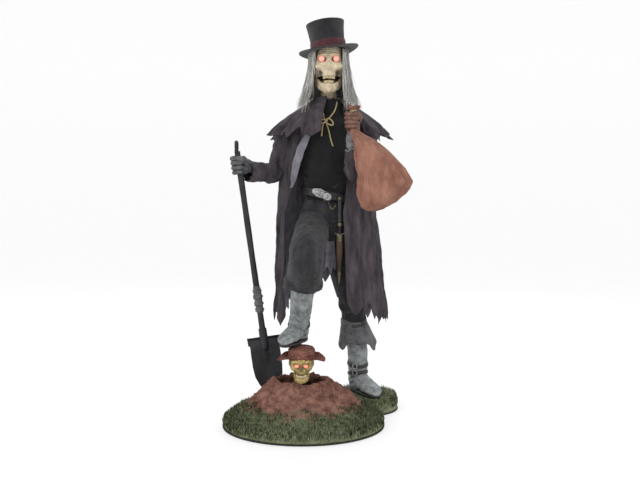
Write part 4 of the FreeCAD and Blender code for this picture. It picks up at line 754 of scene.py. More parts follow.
shape = np.stack([random.uniform(1.6, 3.0, len(lawn)), length * 0.9, length], -1)
scattered("grass_blades", blade, blade_faces, lawn, outwards, shape, dyed_grass)
print(len(spots), "crumbs and", len(lawn), "blades of grass")

# %% [markdown]
# ## The long coat
# The coat is one sheet that goes from its right front edge, round the back, to its left front edge. Seen
# from above it is an oval that widens to the hem, with deep soft folds that start at the chest and grow on
# the way down. Its hem is torn into tongues, which is done by giving each column of the sheet its own
# length. It is lined with a paler cloth, and the right front edge is turned back over the hip so that
# the lining shows.

# %% Coat
spine = np.array([71.0, 225.0])
# Height, half width, half depth, and drift along X, in mm, from the collar to the hem.
coat_sizes = [(1398, 112, 82, 0), (1352, 158, 102, 0), (1242, 198, 116, -6), (1033, 222, 130, -11)]
coat_sizes += [(853, 236, 148, -8), (620, 250, 170, 4), (400, 262, 192, 14)]
# Height, and how far each front edge is turned from the front, in degrees.
coat_edges = np.array([(1398, 12, 40), (1365, 20, 40), (1240, 29, 38), (1075, 42, 25), (930, 57, 19),
                       (400, 56, 17)])


def at_height(table, height):
    """The columns of a table read at heights: a smooth curve through its rows, then straight
    steps.
    """
    line = curve_through(table, 80)[::-1]
    return [np.interp(height, line[:, 0], line[:, i]) for i in range(1, line.shape[1])]


def coat_points(height, turn, swell=0.0):
    """The coat's surface: an oval at each height, turn in degrees from the front by way of its right side.

    Folds are cosines round the body whose phase drifts with height, 12 per turn and finer ones on top.
    """
    wide, deep, drift = at_height(coat_sizes, height)
    a = np.radians(turn)
    fall = np.clip((1330 - height) / 900, 0, 1)
    soft = 0.010 + 0.050 * fall**0.8
    slow = 1.3 * np.sin(height / 170 + 2 * a) + 0.7 * np.sin(height / 90)
    folds = np.cos(13 * a + slow) + 0.55 * np.cos(23 * a - 1.7 * slow + 1)
    folds = folds + 0.3 * np.cos(41 * a + height / 60)
    stretch = 1 + soft * folds * 0.62
    x = spine[0] + drift - (wide * stretch + swell) * np.sin(a)
    y = spine[1] - (deep * stretch + swell) * np.cos(a)
    points = np.stack([x, y, height], -1)
    crumple = 2.2 * waves(points * (1, 1, 0.6), 55, 21, 3)
    points[..., 0] -= crumple * np.sin(a)
    points[..., 1] -= crumple * np.cos(a)
    return points


def edge_turns(height):
    """The turn of the coat's right and left front edges at a height, in degrees."""
    table = coat_edges[::-1]
    return np.interp(height, table[:, 0], table[:, 1]), 360 - np.interp(height, table[:, 0],
        table[:, 2])


COAT_TOP = 1398
rows, columns = 90, 440
hem = 505 - ragged(columns, 112, 30, 5) + 9 * np.sin(np.linspace(0, 9, columns))
hem[:60] -= np.linspace(12, 0, 60)
hem[-90:] += np.linspace(0, 34, 90)
# The back is torn away higher up, so that light comes through between the legs.
hem += 165 * np.exp(-(((np.linspace(0, 1, columns) - 0.39) / 0.10) ** 2))
down = np.linspace(0, 1, rows)[:, None]
coat_height = COAT_TOP + (hem[None] - COAT_TOP) * down
right_edge, left_edge = edge_turns(coat_height)
across = np.linspace(0, 1, columns)[None]
coat_turn = right_edge + (left_edge - right_edge) * across
coat = grid_piece("long_coat", coat_points(coat_height, coat_turn), "figure", outward=(71, 225, 900))
thicken(give(coat, charcoal_poplin, grey_lining), 2.5, inner=1)
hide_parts("coat")
made()

# %% The turned-back front edge
along = np.linspace(0, 1, 120)[:, None]
edge_height = 1378 - 330 * along
over = np.linspace(0, 1, 12)[None]
reach = 3.5 + 9.5 * np.sin(np.pi * np.clip(along * 1.04, 0, 1)) ** 0.8 + 0.7 * np.sin(along * 17) ** 2
turned = edge_turns(edge_height)[0] - 0.6 + reach * over
lift = 4.5 + 3 * np.sin(np.pi * over) + 1.0 * np.sin(along * 40 + over * 4)
lapel_grid = coat_points(edge_height + 0 * over, turned, lift)
lapel = grid_piece("turned_back_edge", lapel_grid, "figure", outward=(71, 225, 1200))
thicken(give(lapel, grey_lining), 1.6)
made()

# %% [markdown]
# ## Cape, sleeves, shirt and trousers
# The cape stands out stiffly from the neck to two points, one over each shoulder, and its edge is torn
# deeper than the coat's. The sleeves and the trouser legs are tubes that bunch up into rings where a
# limb bends, so their creases run round the limb near the elbow and the knee, and along it elsewhere.

# %% Cape
CAPE_TOP = 1470
cape_sizes = [(CAPE_TOP, 66, 64), (1440, 100, 92), (1412, 148, 118), (1375, 200, 150), (1333, 246, 186),
              (1262, 302, 232)]


def cape_points(rows, columns):
    """The cape: an oval that widens downwards, drawn out at both shoulders, with folds that fan
    from the neck.
    """
    random_edge = ragged(columns, 88, 24, 14)
    turn = np.linspace(9, 322, columns)[None]
    a = np.radians(turn)
    shoulder = np.abs(np.sin(a)) ** 3
    bottom = 1328 - 14 * shoulder - random_edge[None] * (0.62 - 0.12 * shoulder)
    front = 1 - smooth_step(turn, 12, 75)
    bottom = bottom - 4 * front
    height = CAPE_TOP + (bottom - CAPE_TOP) * np.linspace(0, 1, rows)[:, None]
    wide, deep = at_height(cape_sizes, np.maximum(height, 1266))
    fan = np.clip((1455 - height) / 190, 0, 1)
    folds = np.cos(15 * a + 1) + 0.6 * np.cos(26 * a + 2) + 0.3 * np.cos(47 * a)
    stretch = 1 + 0.045 * fan * folds
    held_in = 1 - 0.34 * front * np.clip((1400 - height) / 150, 0, 1)
    x = spine[0] - wide * stretch * np.sin(a) * (1 - 0.10 * front)
    y = spine[1] - deep * stretch * np.cos(a) * held_in
    points = np.stack([x, y, height], -1)
    points += (1.6 * waves(points, 40, 33))[..., None] * np.stack([-np.sin(a), -np.cos(a), 0 * a], -1)
    return points


cape = grid_piece("shoulder_cape", cape_points(60, 420), "figure", outward=(71, 225, 1300))
thicken(give(cape, charcoal_poplin, grey_lining), 2.2, inner=1)
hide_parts("capelet")
made()

# %% Sleeves and forearm wrap
def bunched(stations, rows, columns, seed, rings_at, deep=5.0, back=BACK, torn=0.0):
    """A cloth tube with creases round it near a bend and along it elsewhere.

    Round creases are sines along the row, strongest at the share rings_at. Long ones are waves that
    are stretched along the limb. torn in mm makes the last rows ragged.
    """
    points, out = tube(stations, rows, columns, back)
    row = np.linspace(0, 1, rows)[:, None]
    turn = np.linspace(0, 2 * np.pi, columns, endpoint=False)[None]
    near = np.exp(-(((row - rings_at) / 0.16) ** 2))
    tilt = 2.2 * np.sin(turn + seed) + 1.2 * np.sin(2 * turn + 2 * seed)
    slow = waves(points, 150, seed + 5, 2)
    rings = np.sin(row * 42 + tilt + 2.6 * slow) * near
    long = np.sin(5 * turn + 3 * np.sin(row * 7 + seed)) * 0.5 + np.sin(9 * turn + seed) * 0.3
    lumps = waves(points, 60, seed, 3)
    points = points + out * (deep * (rings * 0.8 + long * 0.6 * (1 - near) + lumps * 0.55))[..., None]
    if torn:
        end = ragged(columns, torn, 13, seed)[None]
        way = unit(points[-1:] - points[-4:-3])
        points = points + way * (end * row**6)[..., None]
    return points


right_arm = [(-66, 236, 1322, 36, 44), (-118, 238, 1316, 46, 48), (-152, 230, 1220, 44, 46),
             (-176, 214, 1128, 46, 46)]
right_arm += [(-225, 170, 1118, 44, 44), (-292, 105, 1120, 44, 42)]
sleeve = bunched(right_arm, 120, 110, 2, 0.62, 5.5, torn=26)
right_sleeve = give(grid_piece("right_sleeve", sleeve, "figure", around=True,
                               outward=(-160, 200, 1200)), charcoal_poplin)
thicken(right_sleeve, 2.2)
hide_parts("sleeve_right")
left_arm = [(206, 236, 1322, 36, 44), (258, 236, 1314, 46, 48), (226, 158, 1218, 44, 45),
            (190, 82, 1126, 46, 46)]
left_arm += [(181, 60, 1150, 43, 40), (180, 54, 1205, 40, 36)]
sleeve = bunched(left_arm, 120, 110, 4, 0.66, 5.0, back=(0.6, 0.6, 0.4), torn=24)
left_sleeve = give(grid_piece("left_sleeve", sleeve, "figure", around=True, outward=(215, 130, 1200)),
                   charcoal_poplin)
thicken(left_sleeve, 2.2)
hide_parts("sleeve_left")
wrap = bunched([(181, 56, 1150, 33, 31), (180, 52, 1220, 33, 30), (180, 50, 1302, 29, 27)], 80, 70, 6,
               0.5, 4.0)
closed_piece("forearm_wrap", wrap, "figure", grey_knit)
made()

# %% Shirt
shirt_line = [(71, 225, 980, 112, 82), (71, 225, 1060, 114, 84), (71, 225, 1141, 123, 89),
              (71, 225, 1230, 131, 93)]
shirt_line += [(71, 225, 1300, 128, 90), (71, 225, 1345, 116, 83), (71, 222, 1392, 72, 64),
               (71, 215, 1462, 60, 58)]
body = bunched(shirt_line, 120, 150, 9, 0.12, 4.0)
shirt = closed_piece("black_shirt", body, "figure", black_jersey)
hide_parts("shirt")
made()

# %% Trousers
standing = [(140, 225, 905, 66, 72), (150, 226, 820, 76, 76), (160, 229, 690, 72, 72),
            (170, 236, 580, 66, 66)]
standing += [(184, 244, 480, 60, 62), (198, 252, 400, 54, 56), (208, 256, 335, 50, 52)]
leg = bunched(standing, 150, 110, 12, 0.75, 6.0)
closed_piece("trouser_leg_left", leg, "figure", trouser_twill)
raised = [(8, 232, 880, 84, 80), (-6, 150, 846, 86, 80), (-19, 40, 800, 84, 78),
          (-28, -40, 766, 82, 76)]
raised += [(-31, -80, 720, 80, 74), (-35, -52, 676, 84, 78), (-40, -22, 642, 88, 82),
           (-44, -12, 614, 90, 84)]
leg = bunched(raised, 170, 130, 15, 1.25, 4.2, back=(1.0, 0.0, 0.0))
closed_piece("trouser_leg_right", leg, "figure", trouser_twill)
hem_roll = bunched([(-42, -14, 642, 90, 86), (-44, -13, 622, 93, 88), (-45, -12, 600, 91, 86)], 30, 130,
                   17, 0.5, 3.0, back=(1.0, 0.0, 0.0))
closed_piece("trouser_turn_up", hem_roll, "figure", trouser_twill)
seat = [(71, 226, 800, 112, 84), (71, 226, 860, 132, 90), (71, 225, 930, 128, 88),
        (71, 225, 990, 112, 82)]
hips = closed_piece("trouser_seat", bunched(seat, 60, 150, 18, 0.5, 4.0), "figure", trouser_twill)
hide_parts("trousers")
made()

# %% Torn lining between the legs
tail_rows, tail_columns = 50, 70
torn = 178 + ragged(tail_columns, 76, 6, 27)[None]
down = np.linspace(0, 1, tail_rows)[:, None]
side = np.linspace(0, 1, tail_columns)[None]
drop = torn * down
tail_x = -18 + 112 * side - 10 * down * np.cos(3 * side)
tail_y = 150 - 14 * down + 9 * down * np.sin(15 * side + 2 * down) + 4 * np.sin(31 * side + 4 * down) * down
tail_grid = np.stack([tail_x, tail_y, 888 - drop], -1)
lining_tail = give(grid_piece("lining_tail", tail_grid, "figure", outward=(40, 400, 800)), grey_lining)
thicken(lining_tail, 1.6)
print("coat", columns, "columns, hem from", round(hem.min()), "to", round(hem.max()), "mm")

# %% [markdown]
# ## The buried skull
# The skull is one closed form: an egg of points round its middle, pushed in for the eye sockets, the nose and
# the temples, and out for the brow and the cheekbones. Each push is a smooth hill that fades with distance,
# which is how a sculptor works with thumbs. The lower jaw is made the same way and rides on its own
# hinge. Teeth are separate small pegs set along an arch.

# %% Sculpting helper
def hills(points, *pushes):
    """How far each point moves: the sum of height * exp(-(distance / width)^2) over (x, y, z, width, height).

    Width is one number, or three for a hill that is long one way. All are in mm.
    """
    total = np.zeros(points.shape[:-1])
    for x, y, z, width, height in pushes:
        total += height * np.exp(-((((points - (x, y, z)) / np.asarray(width, float)) ** 2).sum(-1)))
    return total


def nearness(turn, places, width):
    """How near a turn is to the nearest of some places in degrees: exp(-(turn away / width)^2)."""
    away = [((turn - np.radians(at) + np.pi) % (2 * np.pi) - np.pi) / width for at in places]
    return np.max([np.exp(-(a ** 2)) for a in away], 0)


def both(*pushes, middle=0.0):
    """The pushes and their mirror images across a middle plane."""
    return [*pushes, *[(2 * middle - x, y, z, width, height) for x, y, z, width, height in pushes]]


def ball(centre, half, rows, columns):
    """Points of an egg: middle + half * (sin v cos u, sin v sin u, cos v), and its outward
    directions.
    """
    v = np.linspace(0.02, np.pi - 0.02, rows)[:, None]
    u = np.linspace(0, 2 * np.pi, columns, endpoint=False)[None]
    out = np.stack([np.sin(v) * np.cos(u), np.sin(v) * np.sin(u), np.cos(v) + 0 * u], -1)
    return np.asarray(centre, float) + out * np.asarray(half,
        float), unit(out / np.asarray(half, float))


def teeth(name, body, centre, radius_x, radius_y, z, count, spread, size, tip):
    """Pegs along an arch that faces the front: rounded boxes with a taper, all in one mesh.

    centre is the arch's middle, spread its half angle in degrees, and tip +1 or -1 the way they grow.
    """
    angle = np.radians(np.linspace(-spread, spread, count))
    random = np.random.default_rng(count)
    places = np.stack([centre[0] + radius_x * np.sin(angle), centre[1] - radius_y * np.cos(angle),
                       z + 0 * angle], -1)
    peg, out = ball((0, 0, 0), (0.5, 0.42, 0.72), 9, 10)
    peg = np.sign(out) * np.abs(out) ** 0.55 * (0.5, 0.42, 0.72)
    scales = np.asarray(size) * random.uniform(0.86, 1.12, (count, 3))
    c, s = np.cos(angle)[:, None, None], np.sin(angle)[:, None, None]
    x, y, height = [peg[None, ..., i] * scales[:, None, None, i] for i in range(3)]
    x = x * (1 + 0.18 * tip * peg[None, ..., 2])
    shaped = np.stack([x * c - y * s, x * s + y * c, height * tip], -1) + places[:, None, None]
    rows, columns = peg.shape[:2]
    index = np.arange(rows * columns).reshape(rows, columns)
    quads = np.stack([index[:-1], np.roll(index, -1, 1)[:-1], np.roll(index, -1, 1)[1:], index[1:]],
                     -1).reshape(-1, 4)
    faces = quads[None] + (np.arange(count) * rows * columns)[:, None, None]
    mesh = bpy.data.meshes.new(name)
    mesh.from_pydata((shaped.reshape(-1, 3) * MM).tolist(), [], faces.reshape(-1, 4).tolist())
    mesh.polygons.foreach_set("use_smooth", np.ones(len(mesh.polygons), bool))
    work = bmesh.new()
    work.from_mesh(mesh)
    bmesh.ops.holes_fill(work, edges=work.edges)
    bmesh.ops.recalc_face_normals(work, faces=work.faces)
    work.to_mesh(mesh)
    work.free()
    piece = bpy.data.objects.new(name, mesh)
    bpy.context.collection.objects.link(piece)
    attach(piece, body)
    return give(piece, tooth_enamel)


def paint_shade_in_hollows(piece, push, deep):
    """Stores on the piece how hollow each point is, -push / deep held between 0 and 1, for painted shade in
    its hollows.
    """
    hollow_shade = np.zeros(len(piece.data.vertices), np.float32)
    hollow_shade[: push.size] = np.clip(-push / deep, 0, 1).ravel()
    piece.data.attributes.new("hollow_shade", "FLOAT", "POINT").data.foreach_set("value", hollow_shade)
    return piece


made()

# %% Cranium
skull = np.array([-52.0, -38.0, 270.0])


def cranium_points(rows, columns):
    """An egg of 57 by 75 by 62 mm with a muzzle of teeth below its front, and the hollows of a
    skull.
    """
    points, out = ball((0, 0, 0), (57, 75, 62), rows, columns)
    x, y, z = points[..., 0], points[..., 1], points[..., 2]
    narrow = 1 - 0.34 * smooth_step(-z, 6, 50)
    points[..., 0] = x * narrow
    muzzle = np.exp(-((x / 30) ** 2)) * smooth_step(-y, 10, 60) * smooth_step(-z, 14, 34)
    points[..., 1] -= 12 * muzzle
    points[..., 2] += 6 * muzzle
    pushes = both((20, -66, -6, (15, 22, 12.5), -25.0), (21, -66, 11, (19, 22, 6), 5.0),
                  (42, -42, -23, (13, 20, 9), 6.5))
    pushes += both((50, -26, 4, (12, 20, 16), -7.0), (30, -58, -34, (9, 16, 9), -6.0),
                   (3.6, -78, -25, (4.2, 14, 8), -11.0))
    pushes += [(0, -76, -3, (6, 16, 12), 3.0), (0, -72, 22, (22, 20, 16), 2.0),
               (0, -78, -40, (24, 16, 5), 3.0)]
    push = hills(points, *pushes) + 0.9 * waves(points + skull, 22, 41)
    points = points + out * push[..., None]
    points[..., 2] = np.maximum(points[..., 2], -50 + 0.05 * np.abs(y))
    return points + skull, push


bone_grid, bone_push = cranium_points(150, 180)
cranium = grid_piece("skull_bone", bone_grid, "figure", around=True, closed=True)
# Painted shade in the skull's hollows, full where they are 9 mm deep.
paint_shade_in_hollows(give(cranium, old_bone), bone_push, 9.0)
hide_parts("skull_cranium")
teeth("skull_upper_teeth", "figure", skull + (0, -36, 0), 24, 42, skull[2] - 48.5, 10, 62,
      (5.0, 7, 8.0), -1)


def skull_jaw_points(rows, columns):
    """A chin and two cheeks: an oval carried along a horseshoe from one hinge, round the front, to
    the other.
    """
    line = [(-29, 16, -34, 4, 9), (-31, 2, -48, 4.5, 11), (-27, -30, -63, 5.5, 11),
            (-16, -62, -68, 7, 11)]
    line += [(0, -73, -69, 8, 12.5), (16, -62, -68, 7, 11), (27, -30, -63, 5.5, 11),
             (31, 2, -48, 4.5, 11), (29, 16, -34, 4, 9)]
    points, out = tube(line, rows, columns, back=(0, 0, 1))
    points = points + out * (0.8 * waves(points, 16, 43))[..., None]
    return points + skull


chin = grid_piece("skull_chin", skull_jaw_points(120, 36), "skull_lower_jaw", around=True, closed=True)
give(chin, old_bone)
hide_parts("skull_jaw")
teeth("skull_lower_teeth", "skull_lower_jaw", skull + (0, -34, 0), 22, 37, skull[2] - 58.5, 9, 60,
      (4.9, 6.5, 9), 1)


made()

# %% Lit eyes
def eye(name, centre, radius, deep, body, material):
    """A dome of a lens that faces the front, with a rim round it."""
    turn = np.linspace(0, 2 * np.pi, 40, endpoint=False)[None]
    rise = np.linspace(0, np.pi / 2 - 0.03, 16)[::-1, None]
    front = np.stack([radius * np.cos(rise) * np.cos(turn), -deep * np.sin(rise) + 0 * turn,
                      radius * np.cos(rise) * np.sin(turn)], -1)
    back = front[-1:] + np.array([0, 4.0, 0])
    points = np.concatenate([front, back]) + np.asarray(centre, float)
    return closed_piece(name, points, body, material)


skull_lens = lit_lens("skull_lens", "#ff2a10", "#ffb090", 0.95)
skull_eyes = [eye(f"skull_eye_{i}", skull + (side * 20, -50, -6), 11.5, 8, "figure", skull_lens) for i,
              side in enumerate((-1, 1))]
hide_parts("skull_eye_lenses")
made()

# %% Turned-up hat
def brim_points(rows, columns):
    """A brim with three corners: radius 112 at a corner and 80 between, its edge curled up between
    them.
    """
    share = np.linspace(0, 1, rows)[:, None]
    turn = np.linspace(0, 2 * np.pi, columns, endpoint=False)[None]
    near = nearness(turn, (90, 200, 340), 0.5)
    inner_x, inner_y = 56, 72
    outer = 80 + 32 * near
    x = np.cos(turn) * (inner_x + (outer - inner_x) * share)
    y = np.sin(turn) * (inner_y + (outer * 0.93 - inner_y) * share)
    rise = 15 * share**1.6 * (1 - near) - 7 * share**2 * near + 2.4 * np.sin(5 * turn + 1) * share
    points = np.stack([x, y, rise + 0 * turn], -1)
    points[..., 2] += 2.0 * waves(points, 45, 51)
    return points + skull + (0, 6, 26)


brim = grid_piece("skull_hat_brim", brim_points(22, 200), "figure", around=True,
                  outward=skull - (0, 0, 400))
wall = thicken(give(brim, clay_hat), 5.0)
crown_line = [(0, 6, 22, 61, 76), (0, 5, 36, 60, 75), (0, 4, 52, 60, 74), (0, 4, 63, 57, 70),
              (0, 4, 70, 48, 60), (0, 4, 71.5, 24, 30)]
crown_grid, out = tube([(x + skull[0], y + skull[1], z + skull[2], a, b) for x, y, z, a,
                        b in crown_line], 50, 140)
crown_grid = crown_grid + out * (1.8 * waves(crown_grid, 34, 52))[..., None] * (1, 1, 0)
crown = closed_piece("skull_hat_crown", crown_grid, "figure", clay_hat)
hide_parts("skull_hat")
print("skull", [round(float(v), 3) for v in (cranium.dimensions.x, cranium.dimensions.y,
                                             cranium.dimensions.z)], "m")

# %% [markdown]
# ## Boots
# Each boot is a tube of ovals that starts at the toe, runs back along the foot, turns up at the heel and
# climbs the shin, so the leather wrinkles where it bends, just as a real one does. The sole is a flat slab
# with the foot's outline. The standing boot has straps with buckles and wears a turned-down cuff of thick
# leather with pointed corners over it.

# %% Foot and shaft
def turned(points, degrees, place):
    """Points turned about the vertical axis through the origin, then moved to a place."""
    c, s = np.cos(np.radians(degrees)), np.sin(np.radians(degrees))
    x, y = points[..., 0] * c - points[..., 1] * s, points[..., 0] * s + points[..., 1] * c
    return np.stack([x, y, points[..., 2]], -1) + np.asarray(place, float)


def boot(name, ankle, sole, degrees, leg_line, seed):
    """A boot: foot ovals from toe to heel, then leg ovals up the shaft, with wrinkles across the bend.

    The foot's ovals stand across the foot: x = half cos, z = low + height (1 + sin) / 2.
    """
    length = np.linspace(0, 1, 46)[:, None]
    turn = np.linspace(0, 2 * np.pi, 96, endpoint=False)[None]
    along = -199 + 257 * length
    half = 46 * np.interp(length, [0, 0.03, 0.1, 0.3, 0.55, 0.8, 0.95, 1],
                          [0.2, 0.5, 0.82, 1.03, 0.86, 0.78, 0.66, 0.3])
    high = np.interp(length, [0, 0.05, 0.15, 0.35, 0.6, 0.78, 0.92, 1],
                     [20, 36, 50, 62, 88, 104, 96, 66])
    shape = np.sign(np.sin(turn)) * np.abs(np.sin(turn)) ** 0.8
    foot = np.stack([half * np.cos(turn), along + 0 * turn, 12 + (high - 12) * (0.5 + 0.5 * shape)], -1)
    crease = np.sin(along / 3.4 + 1.5 * np.sin(3 * turn)) * smooth_step(along, -150,
        -90) * smooth_step(foot[..., 2], 20, 50)
    foot[..., 2] += 1.6 * crease
    foot += (0.9 * waves(foot, 20, seed))[..., None]
    foot = turned(foot, degrees, (ankle[0], ankle[1], sole))
    vamp = closed_piece(name + "_foot", foot, "figure", boot_vinyl)
    shaft_grid = bunched(leg_line, 120, 100, seed, 0.2, 3.0)
    shaft_grid += 0.7 * waves(shaft_grid, 9, seed + 1, 2)[..., None]
    shaft = closed_piece(name + "_shaft", shaft_grid, "figure", boot_vinyl)
    turn = np.linspace(0, 2 * np.pi, 90, endpoint=False)[None]
    rim = np.array([(0.2, 0), (0.97, 0), (1.0, 3), (1.0, 11), (0.97, 14), (0.2, 14)])
    waist = 1 - 0.16 * np.exp(-(((np.sin(turn) + 0.05) / 0.3) ** 2))
    x = 50 * rim[:, :1] * np.cos(turn) * waist
    y = -69 + 132 * rim[:, :1] * np.sin(turn)
    slab = np.stack([x, y, rim[:, 1:] + 0 * turn], -1)
    slab = turned(slab, degrees, (ankle[0], ankle[1], sole))
    tread = closed_piece(name + "_sole", slab, "figure", black_abs)
    return vamp, shaft, tread


left_ankle = (213.0, 258.0)
left_line = [(213, 256, 84, 38, 46), (213, 257, 130, 43, 48), (213, 258, 170, 44, 45),
             (212, 257, 240, 47, 47)]
left_line += [(208, 256, 320, 49, 48), (200, 252, 372, 46, 46)]
left_boot = boot("standing_boot", left_ankle, 76, 24, left_line, 61)
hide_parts("boot_left")
right_ankle = (-66.0, 90.0)
right_line = [(-66, 88, 356, 38, 44), (-66, 84, 402, 46, 50), (-63, 66, 440, 47, 48),
              (-58, 40, 486, 48, 47)]
right_line += [(-53, 14, 534, 50, 49), (-48, -14, 588, 52, 50), (-45, -26, 612, 50, 50)]
right_boot = boot("raised_boot", right_ankle, 347, -19, right_line, 64)
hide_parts("boot_right")
made()

# %% Straps and cuff
def strap(name, centre, half_x, half_y, lean, width, material, thick=2.6, body="figure"):
    """A flat band round a limb: an oval hoop of a rounded section, tipped by lean in mm across its
    width.
    """
    turn = np.linspace(0, 2 * np.pi, 120, endpoint=False)[None]
    section = np.array([(0.0, -0.5), (0.7, -0.48), (1.0, -0.4), (1.0, 0.4), (0.7, 0.48), (0.0, 0.5),
                        (-0.4, 0.4), (-0.4, -0.4)])
    out, up = section[:, :1] * thick, section[:, 1:] * width
    wave = 1.2 * np.sin(3 * turn + centre[2])
    x = centre[0] + (half_x + out) * np.cos(turn)
    y = centre[1] + (half_y + out) * np.sin(turn)
    z = centre[2] + up + wave + lean[0] * np.cos(turn) + lean[1] * np.sin(turn)
    loop = np.concatenate([np.stack([x, y, z + 0 * x], -1), np.stack([x, y, z + 0 * x], -1)[:1]])
    return give(grid_piece(name, loop, body, around=True, outward=centre), material)


def frame_buckle(name, centre, width, height, normal, material, body="figure", wire=2.6):
    """A square wire frame: a round wire along a rounded rectangle that faces a
    direction.
    """
    turn = np.linspace(0, 2 * np.pi, 64, endpoint=False)
    corner = 1 / np.maximum(np.abs(np.cos(turn)), np.abs(np.sin(turn))) ** 0.75
    side = unit(np.cross(np.asarray(normal, float), UP))
    path = np.asarray(centre, float) + side * (width / 2 * np.cos(turn) * corner)[:, None]
    path = path + UP * (height / 2 * np.sin(turn) * corner)[:, None]
    outward = unit(path - np.asarray(centre, float))
    ring = np.linspace(0, 2 * np.pi, 12, endpoint=False)
    front = unit(np.asarray(normal, float))
    wall = outward[None] * np.cos(ring)[:, None, None] + front * np.sin(ring)[:, None, None]
    points = path[None] + wall * wire
    points = np.concatenate([points, points[:1]])
    return give(grid_piece(name, points, body, around=True, outward=centre), material)


strap("ankle_strap", (213, 257, 160), 47, 49, (3, -9), 17, belt_leather)
strap("instep_strap", (212, 250, 204), 48.5, 50, (-3, 5), 16, belt_leather)
frame_buckle("ankle_buckle", (196, 206, 168), 20, 22, (-0.35, -1, 0), cast_pewter)
frame_buckle("instep_buckle", (196, 200, 200), 19, 21, (-0.35, -1, 0), cast_pewter)
strap("raised_strap", (-66, 82, 420), 49, 53, (3, 16), 15, belt_leather)


def cuff_points(rows, columns):
    """A leather flap: it grips the trouser leg, flares down over the boot, and dips to points at
    its corners.
    """
    share = np.linspace(0, 1, rows)[:, None]
    turn = np.linspace(0, 2 * np.pi, columns, endpoint=False)[None]
    near = nearness(turn, (215, 325, 90), 0.34)
    centre_x, centre_y = 191 + 20 * share, 247 + 11 * share
    flare = share**1.25
    half_x, half_y = 61 + (31 + 6 * near) * flare, 61 + (20 + 10 * near) * flare
    fold = 1 + 0.035 * np.sin(9 * turn + 2 * share) * flare
    x, y = centre_x + half_x * fold * np.cos(turn), centre_y + half_y * fold * np.sin(turn)
    z = 420 + 7 * np.sin(2 * turn + 1) * (1 - share) - (108 + 30 * near + 5 * np.sin(7 * turn)) * share
    points = np.stack([x, y, z], -1)
    return points + 1.2 * waves(points, 40, 66)[..., None]


cuff = grid_piece("boot_flap", cuff_points(40, 180), "figure", around=True, outward=(205, 255, 340))
thicken(give(cuff, cuff_leather), 4.0)
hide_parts("boot_cuff")
strap("cuff_strap", (194, 249, 398), 62, 62, (0, 3), 16, belt_leather)
print("boots are", round(left_boot[0].dimensions.length, 3), "m corner to corner")

# %% [markdown]
# ## Belt, buckle and dagger
# The belt is a worn band that slopes to the figure's left. Its buckle is a cast leaf-shaped plate with a
# round boss, and a short chain of beads hangs from it. The dagger hangs on a strap from a stud, so all of it
# rides on the dagger's own body and swings.

# %% Belt and buckle
belt = strap("waist_belt", (71, 225, 1012), 129, 100, (-25, 0), 37, belt_leather, 3.6)
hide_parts("belt")
old_brass = plain("old_brass", "#2c2822", "#90866f", 0.38, grain=4, lift=0.3, stain=8, Metallic=0.9)


def casting(name, centre, half, slope, ridges, body, material, rows=60, columns=90):
    """A cast lump: an egg with raised rings and petals on its front, sloped in degrees in the front plane.

    Relief is height * cos(ring count * distance from the middle) * (1 + petals of the angle).
    """
    points, out = ball((0, 0, 0), half, rows, columns)
    across, up = points[..., 0] / half[0], points[..., 2] / half[2]
    distance, angle = np.hypot(across, up), np.arctan2(up, across)
    petals = 1 + 0.6 * np.cos(ridges[2] * angle)
    relief = ridges[0] * np.cos(ridges[1] * distance * np.pi) * petals * (out[..., 1] < 0.2)
    points = points + out * relief[..., None]
    c, s = np.cos(np.radians(slope)), np.sin(np.radians(slope))
    x, z = points[..., 0] * c - points[..., 2] * s, points[..., 0] * s + points[..., 2] * c
    points = np.stack([x, points[..., 1], z], -1) + np.asarray(centre, float)
    return closed_piece(name, points, body, material)


plate = casting("buckle_plate", (34, 120, 1021), (42, 8, 19), -22, (1.6, 4, 7), "figure", cast_pewter)
casting("buckle_boss", (64, 114, 1007), (25, 12, 24), 0, (1.5, 3, 5), "figure", cast_pewter)
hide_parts("belt_buckle")
share = np.linspace(0, 1, 19)
chain = np.stack([66 + 34 * share, 108 - 4 * np.sin(np.pi * share),
                  998 - 34 * share - 30 * np.sin(np.pi * share)], -1)
beads = np.tile(np.array([[4.1, 4.1, 4.1]]), (len(chain), 1)) * np.where(np.arange(19) % 3 == 0, 1.35,
    1.0)[:, None]
scattered("bead_chain", clod, clod_faces, chain, share * 5, beads, old_brass)
made()

# %% Dagger
def pipe(name, stations, body, material, rows=60, columns=40, back=BACK, ridge=(0, 0)):
    """A closed round piece along a line. ridge is (height, count) of a spiral raised round it."""
    points, out = tube(stations, rows, columns, back)
    row = np.linspace(0, 1, rows)[:, None]
    turn = np.linspace(0, 2 * np.pi, columns, endpoint=False)[None]
    points = points + out * (ridge[0] * np.cos(2 * np.pi * ridge[1] * row - turn))[..., None]
    return closed_piece(name, points, body, material)


sheath_line = [(121, 111, 828, 16, 7), (121, 111, 770, 16, 7.5), (120, 111, 705, 13, 6.5),
               (119, 111, 645, 8, 5), (118, 111, 610, 3, 3)]
sheath = pipe("dagger_scabbard", sheath_line, "dagger", sheath_leather, 70, 40)
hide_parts("dagger_sheath")
pipe("scabbard_throat", [(121, 111, 833, 18, 9), (121, 111, 826, 19, 9.5), (121, 111, 800, 17.5, 9)],
     "dagger", old_brass, 20, 40)
pipe("scabbard_tip", [(119.5, 111, 662, 11, 7.5), (119, 111, 640, 9, 6), (118, 111, 606, 3, 3)],
     "dagger", old_brass, 20, 30)
pipe("dagger_guard", [(98, 111, 838, 4, 5), (110, 111, 834, 5, 5.5), (121, 111, 833, 6, 6.5),
                      (132, 111, 834, 5, 5.5), (144, 111, 838, 4, 5)], "dagger", old_brass, 40, 24)
pipe("dagger_grip", [(121, 111, 834, 9, 8), (121, 111, 850, 10.5, 9), (121, 111, 868, 9, 8)], "dagger",
     belt_leather, 60, 40, ridge=(0.9, 7))
casting("dagger_pommel", (121, 111, 878), (13, 11, 12), 0, (0.7, 3, 6), "dagger", old_brass, 40, 50)
